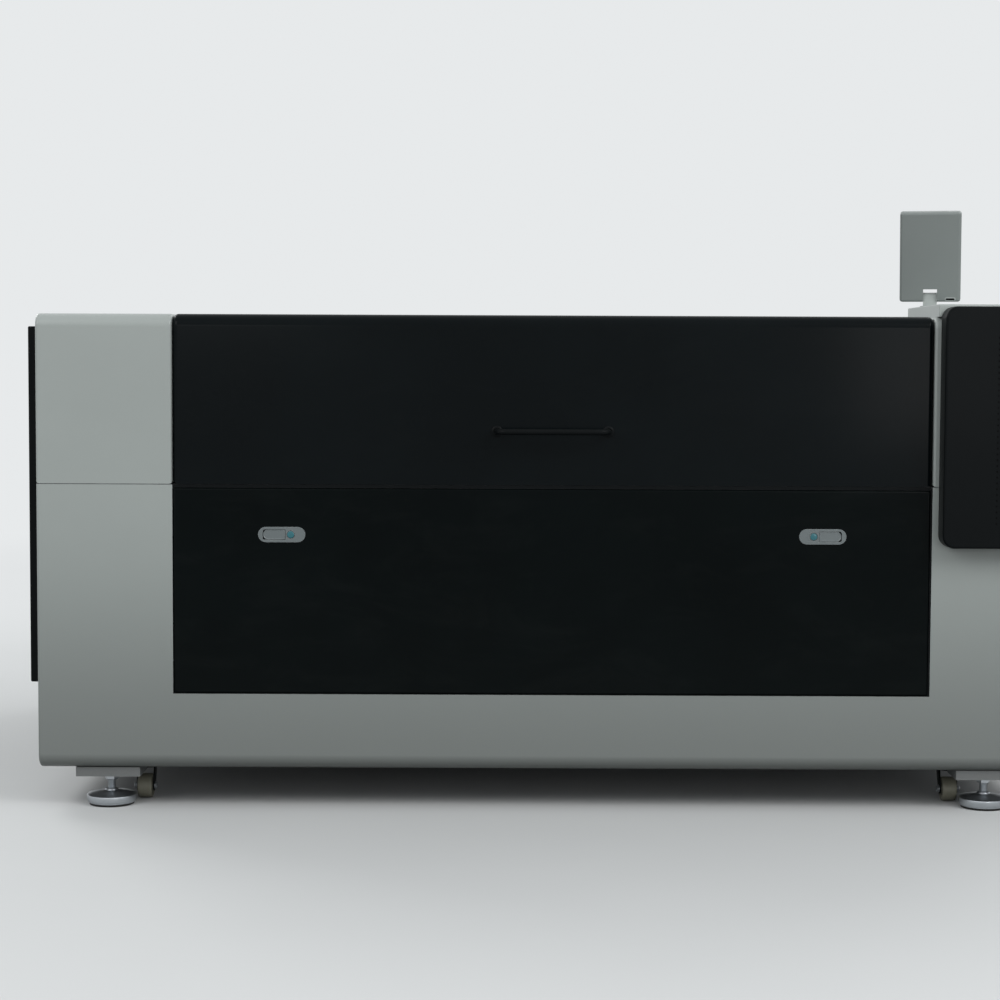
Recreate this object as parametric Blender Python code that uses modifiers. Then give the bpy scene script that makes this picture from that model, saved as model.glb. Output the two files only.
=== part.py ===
# Enclosed fiber laser cutting machine: a sheet-metal cabinet on a welded tube frame, with a lift-up
# lid, a slide-out scrap drawer, a gantry over a toothed slat bed, feet and casters.
# Metres, +Z up. The front faces -Y, X runs to the right as an operator sees the machine from the
# front, and the origin lies on the floor under the middle of the machine.
import math

import bmesh
import bpy
from mathutils import Matrix, Vector

# Housing
HOUSING_WIDTH = 2.060
HOUSING_DEPTH = 1.500
HOUSING_TOP = 1.000
HOUSING_BOTTOM = 0.083
SEAM_HEIGHT = 0.660
SEAM_GROOVE = 0.0015
SHEET = 0.002
SEAT_GAP = 0.0003
REVEAL = 0.0015
FRONT_FOLD_RADIUS = 0.025
BOTTOM_ROLL_RADIUS = 0.030
EDGE_RADIUS = 0.006
FLANGE_WIDTH = 0.015
LEFT_COVER_WIDTH = 0.273
RIGHT_COVER_WIDTH = 0.263
REAR_COVER_DEPTH = 0.300
WELD = 0.001
OVERRUN = 0.010
MERGE_DISTANCE = 0.000001

# Frame
TUBE = 0.050
INNER_POST_X = 0.785
SUPPORT_DROP = 0.060
SUPPORT_TOP = SEAM_HEIGHT - SUPPORT_DROP
CROSS_FRONT_SETBACK = 0.065
GUSSET_THICKNESS = 0.010
GUSSET_DEPTH = 0.100

# Feet
FOOT_X = 0.893
FOOT_SETBACK = 0.065
FOOT_PLATE_WIDTH = 0.130
FOOT_PLATE_DEPTH = 0.090
FOOT_PLATE_THICKNESS = 0.019
PAD_RADIUS = 0.050
PAD_FLOOR_RADIUS = 0.045
PAD_HEIGHT = 0.017
PAD_RIM = 0.003
STUD_RADIUS = 0.008
STUD_ENGAGEMENT = 0.030
NUT_RADIUS = 0.014
NUT_HEIGHT = 0.013
HUB_RADIUS = 0.013
HUB_HEIGHT = 0.012

# Casters
CASTER_X = 0.832
CASTER_SETBACK = 0.143
CASTER_TRAIL = 0.020
CASTER_PLATE_SIZE = 0.060
CASTER_PLATE_THICKNESS = 0.0065
CASTER_CROWN_RADIUS = 0.024
CASTER_CROWN_HEIGHT = 0.012
KINGPIN_RADIUS = 0.005
WHEEL_RADIUS = 0.025
WHEEL_WIDTH = 0.030
WHEEL_FLOOR_GAP = 0.0015
WHEEL_EDGE = 0.004
WHEEL_RECESS = 0.004
FORK_LEG = 0.0025
FORK_SIDE_GAP = 0.0008
AXLE_RADIUS = 0.004
AXLE_HEAD_RADIUS = 0.0065
AXLE_HEAD_HEIGHT = 0.004
FORK_EYE_RADIUS = 0.011

# Lid and its hinge
LID_FLANGE = 0.030
LID_EDGE_RADIUS = 0.010
HINGE_PIN_RADIUS = 0.003
HINGE_BARREL_RADIUS = 0.006
HINGE_LEAF_DEPTH = 0.035
HINGE_LEAF_THICKNESS = 0.002
HINGE_LENGTH = 1.320
HINGE_KNUCKLES = 5
KNUCKLE_GAP = 0.0006
LID_HANDLE_LENGTH = 0.224
LID_HANDLE_HEIGHT = 0.768
LID_HANDLE_REACH = 0.040
LID_HANDLE_RADIUS = 0.006
LID_HANDLE_FOOT_RADIUS = 0.011
LID_HANDLE_FOOT_HEIGHT = 0.004
LID_HANDLE_BEND = 0.018

# Gas springs that hold the lid
SPRING_TUBE_RADIUS = 0.009
SPRING_ROD_RADIUS = 0.004
SPRING_LOW_SETBACK = 0.150
SPRING_LOW_RISE = 0.040
SPRING_HIGH_REACH = 0.600
SPRING_HIGH_DROP = 0.050
SPRING_SIDE_GAP = 0.019
SPRING_EYE_RADIUS = 0.008
SPRING_EYE_WIDTH = 0.008
SPRING_STUD_RADIUS = 0.004
SPRING_TUBE_SHARE = 0.80
SPRING_EYE_CLEAR = 0.014

# Scrap drawer
SKIRT_HEIGHT = 0.155
DRAWER_HEAD_GAP = 0.008
DRAWER_RIGHT_GAP = 0.0045
DRAWER_PANEL_DEPTH = 0.025
DRAWER_PANEL_RADIUS = 0.004
DRAWER_FLANGE = 0.070
TRAY_HALF_WIDTH = 0.700
TRAY_DEPTH = 1.020
TRAY_FLOOR_RISE = 0.024
TRAY_HEIGHT = 0.235
TRAY_RADIUS = 0.012
RUNNER_WIDTH = 0.045
RUNNER_HEIGHT = 0.055
RUNNER_WALL = 0.004
RUNNER_RISE = 0.060
RUNNER_SETBACK = 0.032
SLIDE_GAP = 0.0005
SLIDE_OVERLAP = 0.010

# Drawer latches
LATCH_LENGTH = 0.095
LATCH_HEIGHT = 0.031
LATCH_OFFSET = 0.5425
LATCH_DROP = 0.093
LATCH_LIP = 0.0015
LATCH_BORDER = 0.004
LATCH_BODY_INSET = 0.003
LATCH_BODY_DEPTH = 0.018
LATCH_WALL = 0.002
LATCH_BUTTON_RADIUS = 0.008
LATCH_BUTTON_OFFSET = 0.018
LATCH_BUTTON_PROUD = 0.001
LATCH_PADDLE_THICKNESS = 0.004
LATCH_PADDLE_SIDE_GAP = 0.0008
LATCH_PIVOT_INSET = 0.010
LATCH_PIVOT_RADIUS = 0.003
LATCH_PIVOT_DEPTH = 0.0045

# Slat bed
BED_HALF_WIDTH = 0.640
BED_BAR_HEIGHT = 0.045
BED_BAR_THICKNESS = 0.004
SLAT_COUNT = 10
SLAT_THICKNESS = 0.003
SLAT_HEIGHT = 0.060
SLAT_FLOOR_GAP = 0.010
TOOTH_COUNT = 18
TOOTH_DEPTH = 0.014

# Gantry
BEAM_OFFSET = 0.690
RAIL_BEAM_WIDTH = 0.060
RAIL_BEAM_HEIGHT = 0.140
GUIDE_WIDTH = 0.015
GUIDE_HEIGHT = 0.012
RUNNING_GAP = 0.0005
GANTRY_PARK_SETBACK = 0.120
GANTRY_DEPTH = 0.080
GANTRY_HEIGHT = 0.090
GANTRY_RISE = 0.050
CARRIAGE_WIDTH = 0.070
CARRIAGE_LENGTH = 0.140
HEAD_PLATE_WIDTH = 0.120
HEAD_PLATE_THICKNESS = 0.022
HEAD_PLATE_HEIGHT = 0.140
HEAD_RADIUS = 0.028
HEAD_HEIGHT = 0.200
HEAD_BACK_WIDTH = 0.040
HEAD_BACK_DEPTH = 0.036
NOZZLE_RADIUS = 0.004
NOZZLE_RAISE = 0.045
NOZZLE_BORE = 0.0015
HEAD_HEIGHT_SHARES = (1.0, 0.92, 0.88, 0.62, 0.56, 0.32, 0.2, 0.1)
HEAD_CAP_SHARE = 0.45
HEAD_COLLAR_SHARE = 1.12
HEAD_TIP_SHARE = 0.6

# Boxes in the side bays
LASER_WIDTH = 0.215
LASER_DEPTH = 0.760
LASER_HEIGHT = 0.400
LASER_OUTER_GAP = 0.012
LASER_HANDLE_RADIUS = 0.005
LASER_HANDLE_REACH = 0.030
LASER_HANDLE_INSET = 0.022
LASER_HANDLE_BEND = 0.012
LASER_EDGE = 0.0025
PLATE_DEPTH = 1.200
PLATE_HEIGHT = 0.400
PLATE_RISE = 0.080
DRIVE_COUNT = 4
DRIVE_WIDTH = 0.090
DRIVE_HEIGHT = 0.200
DRIVE_DEPTH = 0.110
DRIVE_PITCH = 0.150

# Console box, control box and what they carry
RISER_INSET = 0.007
RISER_DEPTH = 0.340
RISER_HEIGHT = 0.025
RISER_RADIUS = 0.004
CONTROL_LEFT_INSET = 0.012
CONTROL_LOW = 0.540
CONTROL_TOP = 1.020
CONTROL_PROUD = 0.050
CONTROL_CORNER_RADIUS = 0.024
CONTROL_INSET = 0.060
STOP_HEIGHT = 0.900
STOP_RADIUS = 0.020
STOP_HEAD_HEIGHT = 0.014
STOP_HEAD_SHARES = ((0, 1.0), (0.7, 0.9), (1.0, 0.5), (1.0, 0.2), (0.8, 0))
STOP_STAND = 0.008
SHAFT_RADIUS = 0.011
SHAFT_LENGTH = 0.030
START_DROP = 0.090
START_PROUD = 0.006
KEY_DROP = 0.170
KEY_HEAD_RADIUS = 0.014
KEY_HEAD_HEIGHT = 0.005
KEY_BOW_LENGTH = 0.018
KEY_BOW_HEIGHT = 0.022
KEY_BOW_THICKNESS = 0.003

# Monitor
MONITOR_X = 0.852
MONITOR_SETBACK = 0.500
MONITOR_WIDTH = 0.1325
MONITOR_HEIGHT = 0.200
MONITOR_THICKNESS = 0.026
MONITOR_RADIUS = 0.006
MONITOR_LIFT = 0.045
MONITOR_YAW = 12.0
MONITOR_TILT = 13.0
NECK_RADIUS = 0.0215
NECK_HEIGHT = 0.030
POST_BASE_RADIUS = 0.028
POST_BASE_HEIGHT = 0.004
POST_PIN_RADIUS = 0.008
POST_PIN_HEIGHT = 0.020
TONGUE_WIDTH = 0.030
TONGUE_THICKNESS = 0.012
TILT_AXIS_RISE = 0.013
TILT_PIN_RADIUS = 0.003
TILT_PIN_LENGTH = 0.046
NOTCH_HEAD_GAP = 0.010
SCREEN_BORDER = 0.008
SCREEN_RECESS = 0.003

# Side panels, rear panel and rear fittings
SIDE_PANEL_SETBACK = 0.150
SIDE_PANEL_LOW = 0.238
SIDE_PANEL_HIGH = 0.976
SIDE_PANEL_PROUD = 0.046
SIDE_PANEL_CHAMFER = 0.014
VENT_COLUMNS = 8
VENT_WIDTH = 0.012
VENT_HEIGHT = 0.120
VENT_PITCH = 0.040
VENT_RISE = 0.070
LOUVRE_PANEL_X = -0.300
LOUVRE_PANEL_WIDTH = 0.520
LOUVRE_PANEL_LOW = 0.240
LOUVRE_PANEL_HEIGHT = 0.300
LOUVRE_LENGTH = 0.400
LOUVRE_COUNT = 6
LOUVRE_PITCH = 0.040
LOUVRE_OPENING = 0.012
LOUVRE_PROUD = 0.009
LOUVRE_BORDER = 0.020
EXHAUST_X = 0.350
EXHAUST_HEIGHT = 0.400
EXHAUST_RADIUS = 0.075
EXHAUST_FLANGE = 0.025
EXHAUST_FLANGE_THICKNESS = 0.003
INLET_X = 0.880
INLET_HEIGHT = 0.220
INLET_WIDTH = 0.110
INLET_TALL = 0.070
INLET_PROUD = 0.018
INLET_EDGE_RADIUS = 0.003
GLAND_RADIUS = 0.012
GLAND_LENGTH = 0.022
GLAND_BORE = 0.006

# Facet counts
ROUND_STEPS = 24
WHEEL_STEPS = 16
FOOT_STEPS = 20
SMALL_STEPS = 10
PILL_STEPS = 6
FOLD_STEPS = 4
SHARP_ANGLE = 30.0
FACING_LIMIT = 0.999

# Places worked out from the sizes above
HALF_WIDTH = HOUSING_WIDTH / 2
FRONT = -HOUSING_DEPTH / 2
REAR = HOUSING_DEPTH / 2
INNER_LEFT = -HALF_WIDTH + LEFT_COVER_WIDTH
INNER_RIGHT = HALF_WIDTH - RIGHT_COVER_WIDTH
HINGE_Y = REAR - REAR_COVER_DEPTH
HINGE_Z = HOUSING_TOP + SEAT_GAP + HINGE_BARREL_RADIUS
DRAWER_LOW = HOUSING_BOTTOM + SKIRT_HEIGHT
DRAWER_HIGH = SEAM_HEIGHT - DRAWER_HEAD_GAP
POST_FACE_X = HALF_WIDTH - EDGE_RADIUS - SEAT_GAP
POST_FACE_Y = REAR - SHEET - SEAT_GAP
RAIL_INSET = BOTTOM_ROLL_RADIUS + FLANGE_WIDTH + SEAT_GAP
PLATE_TOP = HOUSING_BOTTOM - SEAT_GAP
RAIL_LOW = PLATE_TOP - WELD
RAIL_HIGH = RAIL_LOW + TUBE
FOOT_PLATE_LOW = PLATE_TOP - FOOT_PLATE_THICKNESS
CASTER_PLATE_LOW = PLATE_TOP - CASTER_PLATE_THICKNESS
AXLE_HEIGHT = WHEEL_RADIUS + WHEEL_FLOOR_GAP
GUIDE_BASE = SUPPORT_TOP + SEAT_GAP + RAIL_BEAM_HEIGHT
BEAM_FRONT = FRONT + CROSS_FRONT_SETBACK
BEAM_REAR = HINGE_Y - FLANGE_WIDTH
GANTRY_REAR = HINGE_Y - GANTRY_PARK_SETBACK + GANTRY_DEPTH / 2
GANTRY_FRONT = GANTRY_REAR - GANTRY_DEPTH
GANTRY_LOW = GUIDE_BASE + GANTRY_RISE
SLAT_TOP = SUPPORT_TOP + SEAT_GAP + SLAT_FLOOR_GAP + SLAT_HEIGHT
RISER_TOP = HOUSING_TOP + SEAT_GAP + RISER_HEIGHT
LEFT_LATCH_X = (INNER_LEFT + INNER_RIGHT) / 2 - LATCH_OFFSET
RIGHT_LATCH_X = (INNER_LEFT + INNER_RIGHT) / 2 + LATCH_OFFSET
LATCH_Z = DRAWER_HIGH - LATCH_DROP
CONTROL_X = HALF_WIDTH - CONTROL_INSET
CONTROL_FACE = FRONT - CONTROL_PROUD
EXHAUST_LENGTH = CONTROL_PROUD + KEY_HEAD_HEIGHT - WELD + KEY_BOW_LENGTH

SIDES = {
    "left": Vector((-1, 0, 0)),
    "right": Vector((1, 0, 0)),
    "front": Vector((0, -1, 0)),
    "rear": Vector((0, 1, 0)),
    "bottom": Vector((0, 0, -1)),
    "top": Vector((0, 0, 1)),
}
AXIS_TURNS = {
    "X": Matrix.Rotation(math.radians(90), 4, "Y"),
    "Y": Matrix.Rotation(math.radians(-90), 4, "X"),
    "Z": Matrix.Identity(4),
}
PLANE_TURNS = {
    "XY": Matrix.Identity(4),
    "XZ": Matrix.Rotation(math.radians(90), 4, "X"),
    "YZ": Matrix(((0, 0, 1, 0), (1, 0, 0, 0), (0, 1, 0, 0), (0, 0, 0, 1))),
}


def clear_scene():
    for thing in list(bpy.data.objects):
        bpy.data.objects.remove(thing, do_unlink=True)


def new_collection(name):
    collection = bpy.data.collections.new(name)
    bpy.context.scene.collection.children.link(collection)
    return collection


def new_material(name, colour, roughness, metallic=0.0):
    material = bpy.data.materials.new(name)
    material.use_nodes = True
    shader = material.node_tree.nodes["Principled BSDF"]
    shader.inputs["Base Color"].default_value = (*colour, 1.0)
    shader.inputs["Roughness"].default_value = roughness
    shader.inputs["Metallic"].default_value = metallic
    return material


def object_from_bmesh(name, bm, matrix, material):
    """A named object; without a material it is a cutter or a piece to be joined to another."""
    mesh = bpy.data.meshes.new(name)
    bm.to_mesh(mesh)
    bm.free()
    thing = bpy.data.objects.new(name, mesh)
    thing.matrix_world = matrix
    if material is None:
        CUTTERS.objects.link(thing)
        thing.hide_render = True
        thing.display_type = "WIRE"
    else:
        PARTS.objects.link(thing)
        mesh.materials.append(material)
    return thing


def block(name, x, y, z, material=None):
    """A box between the low and high value on each axis."""
    low = Vector((x[0], y[0], z[0]))
    high = Vector((x[1], y[1], z[1]))
    bm = bmesh.new()
    bmesh.ops.create_cube(bm, size=1.0)
    bmesh.ops.scale(bm, vec=high - low, verts=bm.verts)
    return object_from_bmesh(name, bm, Matrix.Translation((low + high) / 2), material)


def rod(name, radius, start, axis, length, steps=SMALL_STEPS, end_radius=None, material=None):
    """A cylinder or cone from its start point along +axis, or against it with a negative length."""
    bm = bmesh.new()
    far_radius = radius if end_radius is None else end_radius
    if length < 0:
        radius, far_radius = far_radius, radius
    bmesh.ops.create_cone(
        bm, cap_ends=True, segments=steps, radius1=radius, radius2=far_radius, depth=abs(length)
    )
    turn = AXIS_TURNS[axis]
    middle = Vector(start) + turn @ Vector((0, 0, length / 2))
    thing = object_from_bmesh(name, bm, Matrix.Translation(middle) @ turn, material)
    smooth(thing)
    return thing


def bore_radius(radius, steps):
    """The corner radius of a faceted bore whose flats stay clear of a shaft of the given radius."""
    return (radius + SEAT_GAP) / math.cos(math.pi / steps)


def bore(name, radius, start, axis, length, steps=SMALL_STEPS):
    """A cutter for a bore that a shaft of the given radius turns or slides in."""
    return rod(name, bore_radius(radius, steps), start, axis, length, steps)


def turned(name, profile, place, axis="Z", steps=ROUND_STEPS, closed=False, material=None):
    """A lathe shape: (radius, height) points that run down the outer side from the top."""
    bm = bmesh.new()
    points = [bm.verts.new((radius, 0, height)) for radius, height in profile]
    for first, second in zip(points, points[1:]):
        bm.edges.new((first, second))
    if closed:
        bm.edges.new((points[-1], points[0]))
    thing = object_from_bmesh(name, bm, Matrix.Translation(place) @ AXIS_TURNS[axis], material)
    screw = thing.modifiers.new("turn", "SCREW")
    screw.axis = "Z"
    screw.steps = steps
    screw.render_steps = steps
    screw.use_merge_vertices = True
    screw.merge_threshold = MERGE_DISTANCE
    return thing


def smooth(thing):
    """Round faces are shaded smooth and real edges stay sharp."""
    thing.data.shade_smooth()
    thing.data.set_sharp_from_angle(angle=math.radians(SHARP_ANGLE))


def mesh_from_curve(name, curve_object, material):
    """The curve's surface as a plain mesh with its end caps welded on."""
    bpy.context.scene.collection.objects.link(curve_object)
    bpy.context.view_layer.update()
    evaluated = curve_object.evaluated_get(bpy.context.evaluated_depsgraph_get())
    mesh = bpy.data.meshes.new_from_object(evaluated)
    bm = bmesh.new()
    bm.from_mesh(mesh)
    bmesh.ops.remove_doubles(bm, verts=bm.verts, dist=MERGE_DISTANCE)
    matrix = curve_object.matrix_world.copy()
    bpy.data.objects.remove(curve_object, do_unlink=True)
    bpy.data.meshes.remove(mesh)
    thing = object_from_bmesh(name, bm, matrix, material)
    smooth(thing)
    return thing


def plate(name, points, plane, thickness, place, material=None):
    """A flat outline in one plane, as thick as stated, centred on its place."""
    curve = bpy.data.curves.new(name, "CURVE")
    curve.dimensions = "2D"
    curve.fill_mode = "BOTH"
    curve.extrude = thickness / 2
    spline = curve.splines.new("POLY")
    spline.points.add(len(points) - 1)
    for point, (across, up) in zip(spline.points, points):
        point.co = (across, up, 0, 1)
    spline.use_cyclic_u = True
    holder = bpy.data.objects.new(name + "_outline", curve)
    holder.matrix_world = Matrix.Translation(place) @ PLANE_TURNS[plane]
    return mesh_from_curve(name, holder, material)


def bar(name, points, radius, resolution=3, material=None):
    """A round bar or tube along a path."""
    curve = bpy.data.curves.new(name, "CURVE")
    curve.dimensions = "3D"
    curve.bevel_depth = radius
    curve.bevel_resolution = resolution
    curve.use_fill_caps = True
    spline = curve.splines.new("POLY")
    spline.points.add(len(points) - 1)
    for point, place in zip(spline.points, points):
        point.co = (*place, 1)
    holder = bpy.data.objects.new(name + "_path", curve)
    return mesh_from_curve(name, holder, material)


def arc(centre, radius, start, end, steps):
    """Points on an arc in a plane, angles in degrees."""
    angles = [math.radians(start + (end - start) * step / steps) for step in range(steps + 1)]
    return [(centre[0] + radius * math.cos(a), centre[1] + radius * math.sin(a)) for a in angles]


def bow(start, end, foot, reach, bend):
    """A bow handle's path: (along, out) points from foot to foot with rounded bends between."""
    path = [(start, foot)]
    path += arc((start + bend, reach + bend), bend, 180, 270, FOLD_STEPS)
    path += arc((end - bend, reach + bend), bend, 270, 360, FOLD_STEPS)
    path.append((end, foot))
    return path


def pill(length, height, steps=PILL_STEPS):
    """The outline of a slot with round ends, lying along its first axis."""
    radius = height / 2
    middle = length / 2 - radius
    return arc((middle, 0), radius, -90, 90, steps) + arc((-middle, 0), radius, 90, 270, steps)


def boolean(target, tool, operation):
    modifier = target.modifiers.new(tool.name, "BOOLEAN")
    modifier.operation = operation
    modifier.solver = "EXACT"
    modifier.object = tool


def join(target, *tools):
    for tool in tools:
        boolean(target, tool, "UNION")
    return target


def cut(target, *tools):
    for tool in tools:
        boolean(target, tool, "DIFFERENCE")
    return target


def joint_empty(name, place, parent=None):
    """An empty on a joint's axis, which the moving pieces hang from."""
    empty = bpy.data.objects.new(name, None)
    PARTS.objects.link(empty)
    empty.matrix_world = Matrix.Translation(place)
    if parent is not None:
        bpy.context.view_layer.update()
        empty.parent = parent
        empty.matrix_parent_inverse = parent.matrix_world.inverted()
    return empty


def hang(empty, *things):
    bpy.context.view_layer.update()
    for thing in things:
        thing.parent = empty
        thing.matrix_parent_inverse = empty.matrix_world.inverted()


def faces_facing(bm, side):
    return [face for face in bm.faces if face.normal.dot(SIDES[side]) > FACING_LIMIT]


def edges_between(bm, side, other_side):
    edges = {edge for face in faces_facing(bm, side) for edge in face.edges}
    return [edge for face in faces_facing(bm, other_side) for edge in face.edges if edge in edges]


def round_edges(bm, edges, radius, steps):
    bmesh.ops.bevel(
        bm, geom=edges, offset=radius, offset_type="OFFSET", segments=steps, profile=0.5,
        affect="EDGES", clamp_overlap=True,
    )
    bm.normal_update()


def folded_case(name, x, y, z, open_sides, folds, edge_radius, material=None):
    """A folded sheet case. Each fold is (pairs of sides, radius, steps); open sides have no sheet."""
    low = Vector((x[0], y[0], z[0]))
    high = Vector((x[1], y[1], z[1]))
    bm = bmesh.new()
    bmesh.ops.create_cube(bm, size=1.0)
    bmesh.ops.scale(bm, vec=high - low, verts=bm.verts)
    bm.normal_update()
    for pairs, radius, steps in folds:
        round_edges(bm, [edge for pair in pairs for edge in edges_between(bm, *pair)], radius, steps)
    if edge_radius > 0:
        open_faces = [face for side in open_sides for face in faces_facing(bm, side)]
        open_edges = {edge for face in open_faces for edge in face.edges}
        edges = [
            edge for side in ("left", "right") if side not in open_sides
            for face in faces_facing(bm, side) for edge in face.edges if edge not in open_edges
        ]
        round_edges(bm, edges, edge_radius, 2)
    for side in open_sides:
        bmesh.ops.delete(bm, geom=faces_facing(bm, side), context="FACES")
    thing = object_from_bmesh(name, bm, Matrix.Translation((low + high) / 2), material)
    smooth(thing)
    wall = thing.modifiers.new("sheet", "SOLIDIFY")
    wall.thickness = SHEET
    wall.offset = -1
    wall.use_even_offset = True
    return thing


def mirrored(low, high, side):
    """The low and high value on one side of the middle plane."""
    return (low, high) if side > 0 else (-high, -low)


# Finishes of the real pieces
def make_materials():
    return {
        "white": new_material("white_powder_coat", (0.78, 0.79, 0.78), 0.45),
        "black": new_material("gloss_black_paint", (0.012, 0.013, 0.015), 0.22),
        "satin_black": new_material("satin_black_paint", (0.02, 0.021, 0.023), 0.42),
        "frame": new_material("frame_paint", (0.16, 0.17, 0.18), 0.55),
        "zinc": new_material("zinc_plated_steel", (0.58, 0.60, 0.62), 0.38, 1.0),
        "steel": new_material("mild_steel", (0.42, 0.42, 0.41), 0.5, 1.0),
        "aluminium": new_material("machined_aluminium", (0.70, 0.71, 0.72), 0.32, 1.0),
        "nylon": new_material("beige_nylon", (0.52, 0.49, 0.38), 0.5),
        "grey": new_material("grey_plastic", (0.36, 0.38, 0.37), 0.5),
        "screen": new_material("screen_glass", (0.01, 0.012, 0.015), 0.08),
        "red": new_material("red_plastic", (0.62, 0.02, 0.015), 0.35),
        "green": new_material("green_plastic", (0.03, 0.38, 0.12), 0.35),
        "teal": new_material("teal_plastic", (0.05, 0.30, 0.30), 0.4),
    }


def make_base_frame():
    """Welded square tubes: bottom rails, posts, top ring, sill, bed supports, foot and caster plates."""
    depth = (-POST_FACE_Y, POST_FACE_Y)
    rail_y = REAR - RAIL_INSET
    rail_x = HALF_WIDTH - RAIL_INSET
    rail_z = (RAIL_LOW, RAIL_HIGH)
    post_low = HOUSING_BOTTOM + BOTTOM_ROLL_RADIUS + SEAT_GAP
    top = SEAM_HEIGHT - SEAT_GAP
    top_z = (top - TUBE, top)
    support_z = (SUPPORT_TOP - TUBE, SUPPORT_TOP)
    inner = (INNER_POST_X, INNER_POST_X + TUBE)
    outer = (POST_FACE_X - TUBE, POST_FACE_X)
    sill_x = INNER_POST_X + WELD
    sill_y = FRONT + DRAWER_PANEL_DEPTH + SEAT_GAP
    frame = block("base_frame", (-rail_x, rail_x), (-rail_y, -rail_y + TUBE), rail_z, MATERIALS["frame"])
    members = [
        block("rear_bottom_rail", (-rail_x, rail_x), (rail_y - TUBE, rail_y), rail_z),
        block("rear_top_rail", (-POST_FACE_X, POST_FACE_X), (POST_FACE_Y - TUBE, POST_FACE_Y), top_z),
        block("lid_sill", (-sill_x, sill_x), (sill_y, sill_y + TUBE / 2), top_z),
    ]
    for side in (-1, 1):
        front_rail_x = mirrored(inner[0], outer[1], side)
        members += [
            block("side_bottom_rail", mirrored(rail_x - TUBE, rail_x, side), (-rail_y, rail_y), rail_z),
            block("inner_bottom_rail", mirrored(*inner, side), (-rail_y, rail_y), rail_z),
            block("side_top_rail", mirrored(*outer, side), depth, top_z),
            block("inner_top_rail", mirrored(*inner, side), depth, support_z),
            block("front_top_rail", front_rail_x, (-POST_FACE_Y, -POST_FACE_Y + TUBE), top_z),
        ]
        for end in (-1, 1):
            post_y = mirrored(POST_FACE_Y - TUBE, POST_FACE_Y, end)
            members += [
                block("corner_post", mirrored(*outer, side), post_y, (post_low, top)),
                block("inner_post", mirrored(*inner, side), post_y, (post_low, top)),
                corner_gusset(side, end),
                foot_plate(side, end),
                caster_plate(side, end),
            ]
    for cross_y in (BEAM_FRONT, BEAM_REAR - TUBE):
        members.append(block("bed_support", (-inner[1], inner[1]), (cross_y, cross_y + TUBE), support_z))
    join(frame, *members)
    for side in (-1, 1):
        for end in (-1, 1):
            place = (side * FOOT_X, end * (REAR - FOOT_SETBACK), FOOT_PLATE_LOW - OVERRUN)
            depth_in = OVERRUN + FOOT_PLATE_THICKNESS + STUD_ENGAGEMENT + SEAT_GAP
            cut(frame, bore("stud_hole", STUD_RADIUS, place, "Z", depth_in))
            pin_place = (side * CASTER_X, end * (REAR - CASTER_SETBACK), CASTER_PLATE_LOW + WELD)
            join(frame, rod("kingpin", KINGPIN_RADIUS, pin_place, "Z", -(WELD + CASTER_CROWN_HEIGHT)))
    return frame


def corner_gusset(side, end):
    """The plate that ties a corner's rails together and carries the caster."""
    x = (INNER_POST_X + WELD, HALF_WIDTH - RAIL_INSET - TUBE + WELD)
    y = (REAR - RAIL_INSET - TUBE - GUSSET_DEPTH, REAR - RAIL_INSET - TUBE + WELD)
    low = PLATE_TOP - WELD / 2
    return block("gusset", mirrored(*x, side), mirrored(*y, end), (low, low + GUSSET_THICKNESS))


def foot_plate(side, end):
    x = (FOOT_X - FOOT_PLATE_WIDTH / 2, FOOT_X + FOOT_PLATE_WIDTH / 2)
    far = REAR - FOOT_SETBACK + FOOT_PLATE_DEPTH / 2
    y = (far - FOOT_PLATE_DEPTH, far)
    return block("foot_plate", mirrored(*x, side), mirrored(*y, end), (FOOT_PLATE_LOW, PLATE_TOP))


def caster_plate(side, end):
    half = CASTER_PLATE_SIZE / 2
    x = (CASTER_X - half, CASTER_X + half)
    y = (REAR - CASTER_SETBACK - half, REAR - CASTER_SETBACK + half)
    return block("caster_plate", mirrored(*x, side), mirrored(*y, end), (CASTER_PLATE_LOW, PLATE_TOP))


def make_cabinet_shell():
    """The lower cabinet: front, sides and rear folded as one, its bottom edge rolled under."""
    rolled = (((("front", "bottom"), ("rear", "bottom")), BOTTOM_ROLL_RADIUS, FOLD_STEPS),)
    shell = folded_case(
        "cabinet_shell", (-HALF_WIDTH, HALF_WIDTH), (FRONT, REAR), (HOUSING_BOTTOM, SEAM_HEIGHT - SEAM_GROOVE),
        ("top",), rolled, EDGE_RADIUS, MATERIALS["white"],
    )
    floor_x = HALF_WIDTH - EDGE_RADIUS - FLANGE_WIDTH
    floor_y = REAR - BOTTOM_ROLL_RADIUS - FLANGE_WIDTH
    half_louvre = LOUVRE_PANEL_WIDTH / 2 - LOUVRE_BORDER
    louvre_x = (LOUVRE_PANEL_X - half_louvre, LOUVRE_PANEL_X + half_louvre)
    cut(
        shell,
        block("floor_opening", (-floor_x, floor_x), (-floor_y, floor_y), (HOUSING_BOTTOM - OVERRUN, RAIL_HIGH)),
        block(
            "drawer_opening", (INNER_LEFT, INNER_RIGHT), (FRONT - OVERRUN, FRONT + OVERRUN),
            (DRAWER_LOW - REVEAL, SEAM_HEIGHT + OVERRUN),
        ),
        block(
            "louvre_opening", louvre_x, (REAR - OVERRUN, REAR + OVERRUN),
            (LOUVRE_PANEL_LOW + LOUVRE_BORDER, LOUVRE_PANEL_LOW + LOUVRE_PANEL_HEIGHT - LOUVRE_BORDER),
        ),
        rod(
            "exhaust_opening", EXHAUST_RADIUS - SHEET, (EXHAUST_X, REAR - OVERRUN, EXHAUST_HEIGHT), "Y",
            OVERRUN * 2, ROUND_STEPS,
        ),
    )
    return shell


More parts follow.
